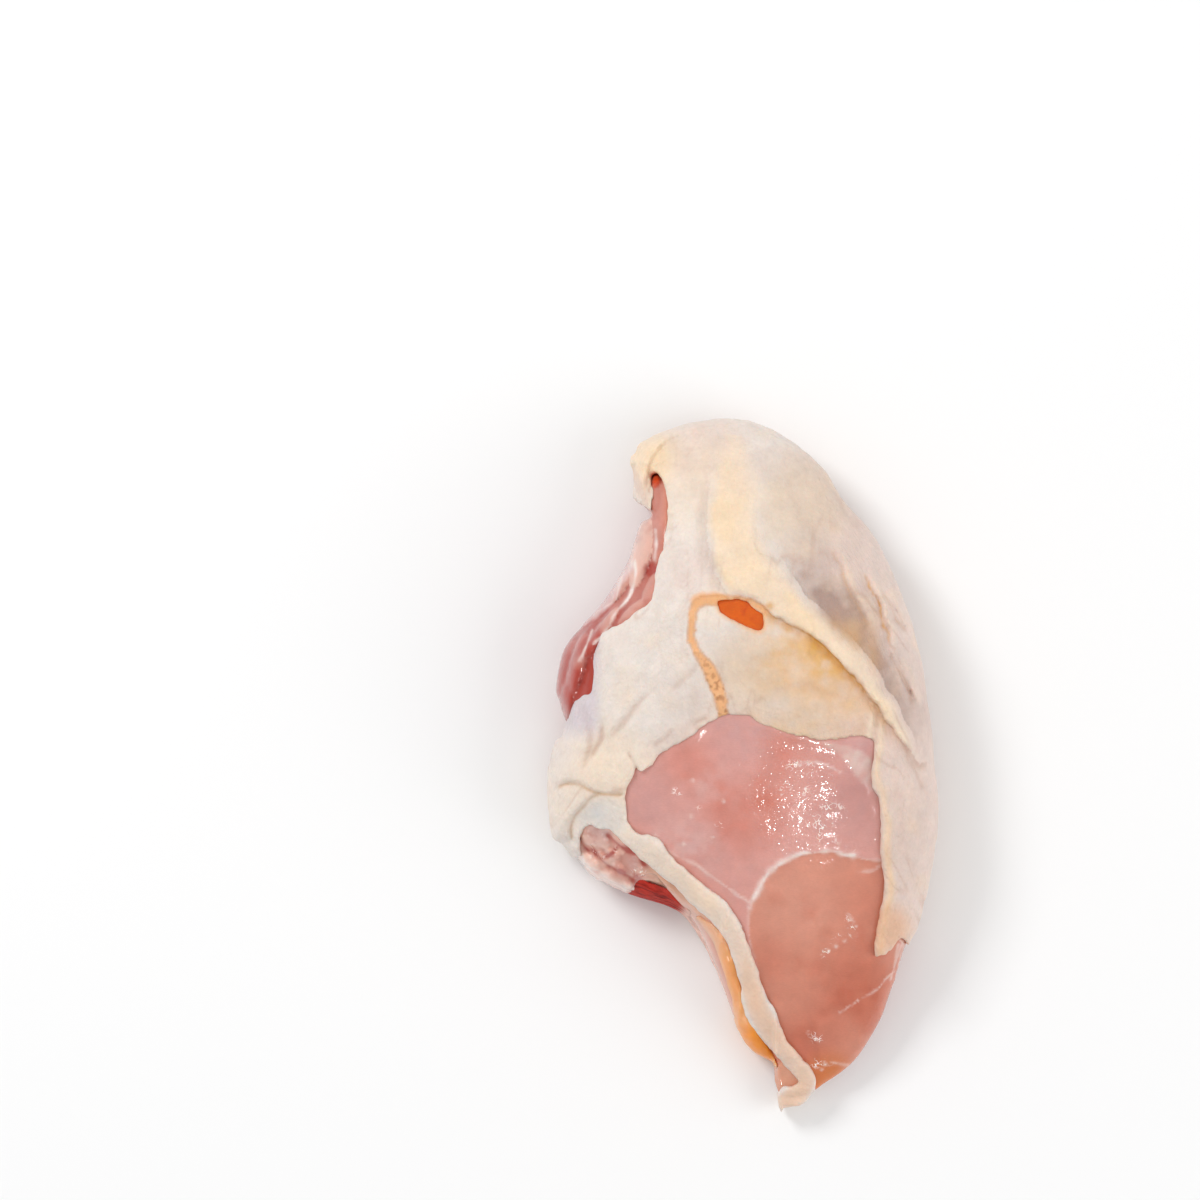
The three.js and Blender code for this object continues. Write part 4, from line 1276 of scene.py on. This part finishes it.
def rib_line(rib):
    places = []
    steps = 16
    for i in range(steps + 1):
        t = i / steps
        x, y = rib_place(rib, t)
        taper = min(1, 0.35 + 6 * t * (1 - t))
        z = under_height(x, y) + RIB_RADIUS * (1.35 - 0.95 * taper)
        places.append((x, y, z, RIB_RADIUS * taper * 1.25, RIB_RADIUS * taper))
    return np.array(places)


def under_height(x, y):
    """How high the rib side lies over the table."""
    angle, _, rho = plan(x, y)
    tucked = through(RIM, angle) * (1 - math.sqrt(max(1 - rho ** TUCK, 0)))
    return max(tucked - FOOT * (1 - rho ** TUCK), 0) + float(cave_height(x, y))


def build_bone(places, seed, uneven):
    """A bar with lumps on it."""
    field = field_round(places)
    p = np.stack(np.broadcast_arrays(field.x[..., None], field.y[..., None], field.z), -1)
    d = bar_distance(field, places) - uneven * rough(p, 3.5, seed, 2)
    return skin_of(d, field)


def build_breastbone():
    """The keel's bar, and the cut face of it that shows beside the flesh."""
    places = keel_line()
    low, high = places[:, :3].min(0) - 6, places[:, :3].max(0) + 6
    field = Field(low, (high[0], high[1], 24), BONE_STEP)
    x, y = field.x, field.y
    p = np.stack(np.broadcast_arrays(x[..., None], y[..., None], field.z), -1)
    bar = bar_distance(field, places) - 0.3 * rough(p, 3.5, 71, 2)
    d = body_distance(field)
    streaks = grain(x, y, -35, 1.3, 7, 72)[..., None]
    face = np.maximum(to_patch(x, y, CUT_BONE)[..., None] - 0.5,
                      np.abs(d + 0.9 - 0.45 * streaks) - 1.1)
    face = np.maximum(face, 5.0 - field.z)
    return skin_of(blend_min(bar, face, 1.0), field)


def build_keel_fat():
    places = np.array(KEEL_FAT)
    field = Field((-18, -96, -1), (15, -42, 36), BONE_STEP)
    d = body_distance(field)
    x, y = field.x, field.y
    dist, along, _ = to_line(x, y, smooth_line(places[:, :2], per=6))
    at = along * (len(places) - 1)
    wide = between(places[:, 2], at)[..., None]
    high = between(places[:, 3], at)[..., None]
    lumpy = 1 + 0.16 * rough(np.stack([x, y], -1), 3.2, 61)[..., None]
    inside = (np.hypot(dist[..., None] / wide, (d - 0.2) / high) - lumpy) * np.minimum(wide, high)
    return skin_of(np.maximum(inside, 0.6 - field.z), field)


# ---- Materials ----

def colour(text):
    """An sRGB colour, #rrggbb, in the renderer's linear values."""
    parts = [int(text[i:i + 2], 16) / 255 for i in (1, 3, 5)]
    return (*[c / 12.92 if c <= 0.04045 else ((c + 0.055) / 1.055) ** 2.4 for c in parts], 1.0)


def add(tree, kind, feeds=None, **settings):
    """A node of a kind, with its settings, and what feeds its inputs: a value or a socket."""
    new = tree.nodes.new("ShaderNode" + kind)
    for key, value in settings.items():
        setattr(new, key, value)
    for key, source in (feeds or {}).items():
        if isinstance(source, bpy.types.NodeSocket):
            tree.links.new(source, new.inputs[key])
        else:
            new.inputs[key].default_value = source
    return new


def mask(tree, name, amount=1.0):
    """A piece's own paint, 0 to 1, times an amount."""
    paint = add(tree, "Attribute", attribute_name=name).outputs["Fac"]
    return add(tree, "Math", {0: paint, 1: amount}, operation="MULTIPLY", use_clamp=True).outputs[0]


def lumps(tree, size, detail=2.0, stretch=(1, 1, 1)):
    """Procedural noise, 0 to 1, with lumps of a size in mm."""
    place = add(tree, "TexCoord").outputs["Object"]
    place = add(tree, "Mapping", {"Vector": place, "Scale": stretch}).outputs[0]
    return add(tree, "TexNoise", {"Vector": place, "Scale": 1 / (size * MM), "Detail": detail},
               noise_dimensions="3D").outputs["Fac"]


def wrinkles(tree, size, stretch, bearing, where=None):
    """Noise drawn out along a bearing, in degrees anticlockwise from +X."""
    place = add(tree, "TexCoord").outputs["Object"]
    place = add(tree, "Mapping", {"Vector": place, "Rotation": (0, 0, math.radians(bearing)),
                                  "Scale": (stretch, 1, 1)}, vector_type="TEXTURE").outputs[0]
    wave = add(tree, "TexNoise", {"Vector": place, "Scale": 1 / (size * MM), "Detail": 3.0},
               noise_dimensions="3D").outputs["Fac"]
    return wave if where is None else product(tree, wave, where)


def layered(tree, base, layers):
    """A base colour with layers laid on it in turn: a paint's name or a socket, how much of the
    paint, and its colour."""
    out = colour(base) if isinstance(base, str) else base
    for cover, amount, tint in layers:
        if isinstance(cover, str):
            cover = mask(tree, cover, amount)
        mix = add(tree, "Mix", {0: cover, 6: out, 7: colour(tint)}, data_type="RGBA")
        out = mix.outputs[2]
    return out


def ramp(tree, fac, low, high, to_low=0.0, to_high=1.0):
    """A value from low to high, spread over to_low to to_high."""
    return add(tree, "MapRange", {"Value": fac, "From Min": low, "From Max": high,
                                  "To Min": to_low, "To Max": to_high}).outputs[0]


def product(tree, a, b):
    """Two values multiplied."""
    return add(tree, "Math", {0: a, 1: b}, operation="MULTIPLY").outputs[0]


def shaded(tree, tint, fac, low, high):
    """A colour made darker or lighter by noise."""
    gain = ramp(tree, fac, 0.25, 0.75, low, high)
    return add(tree, "VectorMath", {0: tint, 3: gain}, operation="SCALE").outputs[0]


def substance(name, roughness, scatter, depth, coat, coat_roughness, gloss=0.5, ior=1.4):
    """A damp, translucent material. depth is how far red light wanders in it, in mm."""
    material = bpy.data.materials.new(name)
    material.use_nodes = True
    tree = material.node_tree
    tree.nodes.clear()
    shader = add(tree, "BsdfPrincipled", {
        "Roughness": roughness, "IOR": ior, "Metallic": 0.0,
        "Subsurface Weight": scatter, "Subsurface Radius": (1.0, 0.45, 0.28),
        "Subsurface Scale": depth * MM, "Coat Weight": coat, "Coat Roughness": coat_roughness,
        "Coat IOR": 1.36, "Specular IOR Level": gloss,
    })
    add(tree, "OutputMaterial", {"Surface": shader.outputs[0]})
    return material, tree, shader


def relief(tree, shader, heights, distance, sockets=("Normal", "Coat Normal")):
    """Bump from several heights (socket, share), in mm."""
    total = None
    for height, share in heights:
        part = product(tree, height, share)
        if total is not None:
            part = add(tree, "Math", {0: total, 1: part}, operation="ADD").outputs[0]
        total = part
    bump = add(tree, "Bump", {"Height": total, "Distance": distance * MM, "Strength": 1.0})
    for socket in sockets:
        tree.links.new(bump.outputs[0], shader.inputs[socket])


def raw_skin():
    """Raw poultry skin: thin, translucent and damp. Yellow fat under it makes it cream, and bare
    meat under it makes it greyish violet, and the grey beside the fold and down the outer flank
    is also painted shade. It is soft and satin, so its gloss is broad and weak."""
    material, tree, shader = substance("raw chicken skin", 0.45, 0.2, 2.0, 0.16, 0.28, 0.3)
    tint = layered(tree, "#ebdfd6", [
        ("blush", 0.8, "#e0beb0"),
        # grey of thin skin over meat, and painted shade beside the fold and on the outer flank
        ("grey_and_shade", 0.85, "#a88a7e"),
        # painted light on the steep outer flank
        ("flank_painted_light", 0.36, "#f0dcd3"),
        ("thin", 0.3, "#e2bba6"),
        ("warm", 0.8, "#dcc4ac"),
        ("yellow", 1.0, "#e5b273"),
        ("fat", 0.85, "#f8dbb6"),
        ("peach", 0.75, "#eab893"),
        ("glow", 0.7, "#eebf7c"),
        ("gold", 0.75, "#e4ac4e"),
        ("crease", 0.6, "#c0967e"),
        # painted shade in creases, wrinkles, valleys and grooves
        ("amber_and_shade", 0.8, "#dc9c40"),
        # amber: painted shade under the fold and in hollows, and the skin's own amber spots
        ("lavender", 0.8, "#d8ccd2"),
        ("film", 0.75, "#e6dcd3"),
        ("bluish", 0.6, "#cfcdcc"),
        ("rim", 0.8, "#f2b47a"),
        ("vein", 0.95, "#efb47e"),
        ("edged", 0.5, "#cc8a50"),
        ("speck", 0.7, "#a4683c"),
        ("pit", 0.9, "#d0440c"),
        ("inner", 0.6, "#ecd2ba"),
    ])
    tint = shaded(tree, tint, lumps(tree, 6, 4), 0.91, 1.03)
    tint = shaded(tree, tint, lumps(tree, 1.3, 3), 0.95, 1.03)
    tree.links.new(tint, shader.inputs["Base Color"])
    along_left = wrinkles(tree, 1.1, 4, 55, mask(tree, "left"))
    along_right = wrinkles(tree, 1.1, 5, -62, mask(tree, "right"))
    relief(tree, shader, [(lumps(tree, 1.6, 3), 0.7), (lumps(tree, 0.6, 2), 0.3),
                          (along_left, 1.0), (along_right, 1.0),
                          (wrinkles(tree, 1.2, 4, 84), 0.5)], 0.42)
    return material


def raw_muscle():
    """Raw breast muscle: pink to salmon, wet, with white fascia and a thin film over it. Under the
    film the gloss breaks up into small sparkles where it is wrinkled, and white curls painted into
    the colour there are painted highlights."""
    material, tree, shader = substance("raw chicken breast muscle", 0.42, 0.3, 2.5, 0.9, 0.07, 0.2)
    tint = layered(tree, "#d88f78", [
        # light: painted light on the lower meat; deep: its own darker tone with painted shade at
        # the right
        ("light", 0.6, "#dd9d88"),
        ("deep", 0.85, "#c4684e"),
        ("upper", 1.0, "#dda096"),
        ("warm", 0.9, "#cf7058"),
        ("violet", 0.7, "#cb9c99"),
        ("dusk", 0.6, "#bd8078"),
        ("film", 0.75, "#e3bab4"),
        ("flank", 0.9, "#cc8678"),
        ("flesh", 0.95, "#ebbaa8"),
        ("pale", 0.8, "#f2cbba"),
        ("tan", 0.8, "#e0a684"),
        ("veil", 0.8, "#c8a39c"),
        ("clear", 0.9, "#f8d8cc"),
        ("tail", 0.9, "#d87c42"),
        ("grains", 0.85, "#e2a386"),
        ("patch", 0.75, "#dfc8be"),
        ("under", 1.0, "#c88c84"),
        ("sheath", 0.6, "#d9bdb8"),
        ("between", 0.6, "#b4615a"),
        ("blood", 0.45, "#a8453c"),
        ("red", 0.9, "#aa2e1e"),
        ("blue", 0.4, "#dccad0"),
        ("white", 0.9, "#f8ebe4"),
        ("orange", 1.0, "#e06404"),
        ("ember", 0.8, "#c84206"),
        ("slot", 1.0, "#d04616"),
    ])
    tint = shaded(tree, tint, lumps(tree, 5, 4), 0.9, 1.03)
    tint = shaded(tree, tint, lumps(tree, 0.9, 3, (1, 3, 1)), 0.96, 1.04)
    # Painted highlights: broken white curls over the wrinkled film, standing for glints.
    painted_glints = add(tree, "Math", {0: lumps(tree, 1.6, 1), 1: 0.51, 2: 0.03}, operation="COMPARE")
    broken = ramp(tree, lumps(tree, 2.6, 0), 0.4, 0.5)
    painted_glints = product(tree, product(tree, painted_glints.outputs[0], broken), mask(tree, "sparkle", 1.1))
    tint = layered(tree, tint, [(painted_glints, 1, "#fff3ec")])
    tree.links.new(tint, shader.inputs["Base Color"])
    sparkle = product(tree, mask(tree, "sparkle"), lumps(tree, 1.4, 2))
    relief(tree, shader, [(lumps(tree, 1.4, 3), 0.25)], 0.3, ["Normal"])
    relief(tree, shader, [(lumps(tree, 1.4, 3), 0.35), (sparkle, 4.2)], 0.3, ["Coat Normal"])
    return material


def cut_bone():
    """Breastbone cut through: red marrow, dark streaks of blood, pale cartilage at its ends."""
    material, tree, shader = substance("cut breastbone", 0.55, 0.1, 1.0, 0.08, 0.12, 0.05)
    streak = ramp(tree, wrinkles(tree, 1.6, 5, -35), 0.5, 0.62)
    dark = product(tree, streak, mask(tree, "marrow", 0.9))
    tint = layered(tree, "#e6bfb2", [
        ("marrow", 0.97, "#b8200c"),
        (dark, 1, "#7a0e06"),
    ])
    tint = shaded(tree, tint, lumps(tree, 2.0, 3), 0.78, 1.25)
    tree.links.new(tint, shader.inputs["Base Color"])
    relief(tree, shader, [(dark, -0.2), (lumps(tree, 1.0, 3), 0.5)], 0.4)
    return material


def soft_fat():
    """Fat along the keel: orange and translucent, glossy with its own grease."""
    material, tree, shader = substance("keel fat", 0.35, 0.4, 3.0, 0.5, 0.2, 0.4, 1.45)
    tint = layered(tree, "#efab74", [
        ("bright", 1.0, "#f4942a"),
        ("pale", 0.9, "#e5ae8c"),
    ])
    tint = shaded(tree, tint, lumps(tree, 3, 3), 0.94, 1.05)
    tree.links.new(tint, shader.inputs["Base Color"])
    relief(tree, shader, [(lumps(tree, 1.5, 2), 0.5)], 0.25)
    return material


def damp_bone():
    """Young bone in its sheath: pinkish white, red at the ends, satin where the film is on it."""
    material, tree, shader = substance("young bone", 0.42, 0.3, 1.5, 0.4, 0.22)
    flush = ramp(tree, lumps(tree, 5, 3), 0.45, 0.7)
    tint = layered(tree, "#e2c4ba", [
        (flush, 1, "#cf9a90"),
        ("marrow", 0.8, "#b04438"),
    ])
    tree.links.new(tint, shader.inputs["Base Color"])
    relief(tree, shader, [(lumps(tree, 1.2, 3), 0.4)], 0.25)
    return material


# ---- Assembly ----

MARROW = ((652, 890), 44, 30)
BRIGHT_FAT = [(1, 758, 1046, 34, 12), (0.5, 728, 985, 50, 10)]
PALE_FAT = ((705, 915), 44, 10)


def assemble():
    slots = dict(raw_skin=raw_skin(), raw_muscle=raw_muscle(), cut_bone=cut_bone(),
                 keel_fat=soft_fat(), bone=damp_bone())

    def put(name, node, slot, surface, paints):
        vertices, quads = surface
        piece = make_piece(name, vertices, quads, slots[slot], paints)
        thin_out(piece)
        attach(piece, "root")
        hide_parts(node)

    surface = build_meat()
    normal = normals_of(*surface)
    put("breast_muscle", "breast_meat", "raw_muscle", surface, meat_paints(*surface[0].T, normal))
    surface = build_skin()
    normal = normals_of(*surface)
    put("torn_skin", "skin", "raw_skin", surface, skin_paints(*surface[0].T[:2], normal))

    surface = build_breastbone()
    marrow = near(*surface[0].T[:2], *MARROW)
    put("split_breastbone", "breastbone", "cut_bone", surface, dict(marrow=marrow))

    surface = build_keel_fat()
    x, y = surface[0].T[:2]
    bright, pale = spots(x, y, BRIGHT_FAT), near(x, y, *PALE_FAT)
    put("fat_on_keel", "keel_fat", "keel_fat", surface, dict(bright=bright, pale=pale))

    surface = build_bone(CORACOID_LINE, 72, 0.3)
    y = surface[0][:, 1]
    put("coracoid_bone", "coracoid", "bone", surface,
        dict(marrow=soft(-12, -18, y) + 0.6 * soft(64, 70, y)))
    for rib in range(RIBS):
        places = rib_line(rib)
        surface = build_bone(places, 80 + rib, 0.35)
        x, y = surface[0].T[:2]
        ends = np.minimum(np.hypot(x - places[0][0], y - places[0][1]),
                          np.hypot(x - places[-1][0], y - places[-1][1]))
        put(f"rib_bone_{rib + 1}", f"rib_{rib + 1}", "bone", surface,
            dict(marrow=soft(5, 1, ends)))


TABLE_HALF = 3.0                  # metres
PAPER = (0.93, 0.93, 0.93, 1)     # linear
ROOM_LIGHT = 0.65
LAMPS = [                         # name, place and size in metres, power in watts, gloss only
    ("key", (-0.85, 0.8, 1.15), 0.5, 10.2, False),
    ("fill", (1.3, -0.35, 0.9), 1.2, 8.0, False),
    ("glint", (0.3, -0.67, 1.5), 0.07, 7.0, True),
    ("edge_glint", (-0.95, -0.85, 0.45), 0.08, 4.0, True),
]
LENS = 200                        # mm
FILM_WIDTH = 36                   # mm
CAMERA_AIM = 0.02                 # metres over the table
PHOTO_WIDTH = 1200                # pixels


def stage():
    """A plain white table, soft light from above, and the camera straight over the table."""
    scene = bpy.context.scene
    scene.view_settings.view_transform = "Standard"
    scene.view_settings.look = "None"

    mesh = bpy.data.meshes.new("table_top")
    corners = [(-1, -1, 0), (1, -1, 0), (1, 1, 0), (-1, 1, 0)]
    mesh.from_pydata([np.multiply(corner, TABLE_HALF) for corner in corners], [], [(0, 1, 2, 3)])
    paper = bpy.data.materials.new("white table top")
    paper.use_nodes = True
    shader = paper.node_tree.nodes["Principled BSDF"]
    shader.inputs["Base Color"].default_value = PAPER
    shader.inputs["Roughness"].default_value = 0.7
    mesh.materials.append(paper)
    table = bpy.data.objects.new("table_top", mesh)
    scene.collection.objects.link(table)

    world = bpy.data.worlds.new("even room light")
    world.use_nodes = True
    sky = world.node_tree.nodes["Background"]
    sky.inputs["Color"].default_value = (1, 1, 1, 1)
    sky.inputs["Strength"].default_value = ROOM_LIGHT
    scene.world = world

    for name, place, size, power, gloss_only in LAMPS:
        light = bpy.data.lights.new(name, "AREA")
        light.size = size
        light.energy = power
        light.use_shadow = not gloss_only
        lamp = bpy.data.objects.new(name, light)
        lamp.visible_diffuse = not gloss_only
        lamp.location = place
        aim = -np.array(place) / np.linalg.norm(place)
        lamp.rotation_euler = (math.acos(-aim[2]), 0, math.atan2(-aim[0], aim[1]))
        scene.collection.objects.link(lamp)

    camera_data = bpy.data.cameras.new("camera")
    camera_data.lens = LENS
    camera_data.sensor_width = FILM_WIDTH
    camera = bpy.data.objects.new("camera", camera_data)
    middle = traced((PHOTO_WIDTH / 2, PHOTO_WIDTH / 2)) * MM
    height = CAMERA_AIM + PHOTO_WIDTH * PIXEL * MM * LENS / FILM_WIDTH
    camera.location = (*middle, height)
    scene.collection.objects.link(camera)
    scene.camera = camera


assemble()
stage()
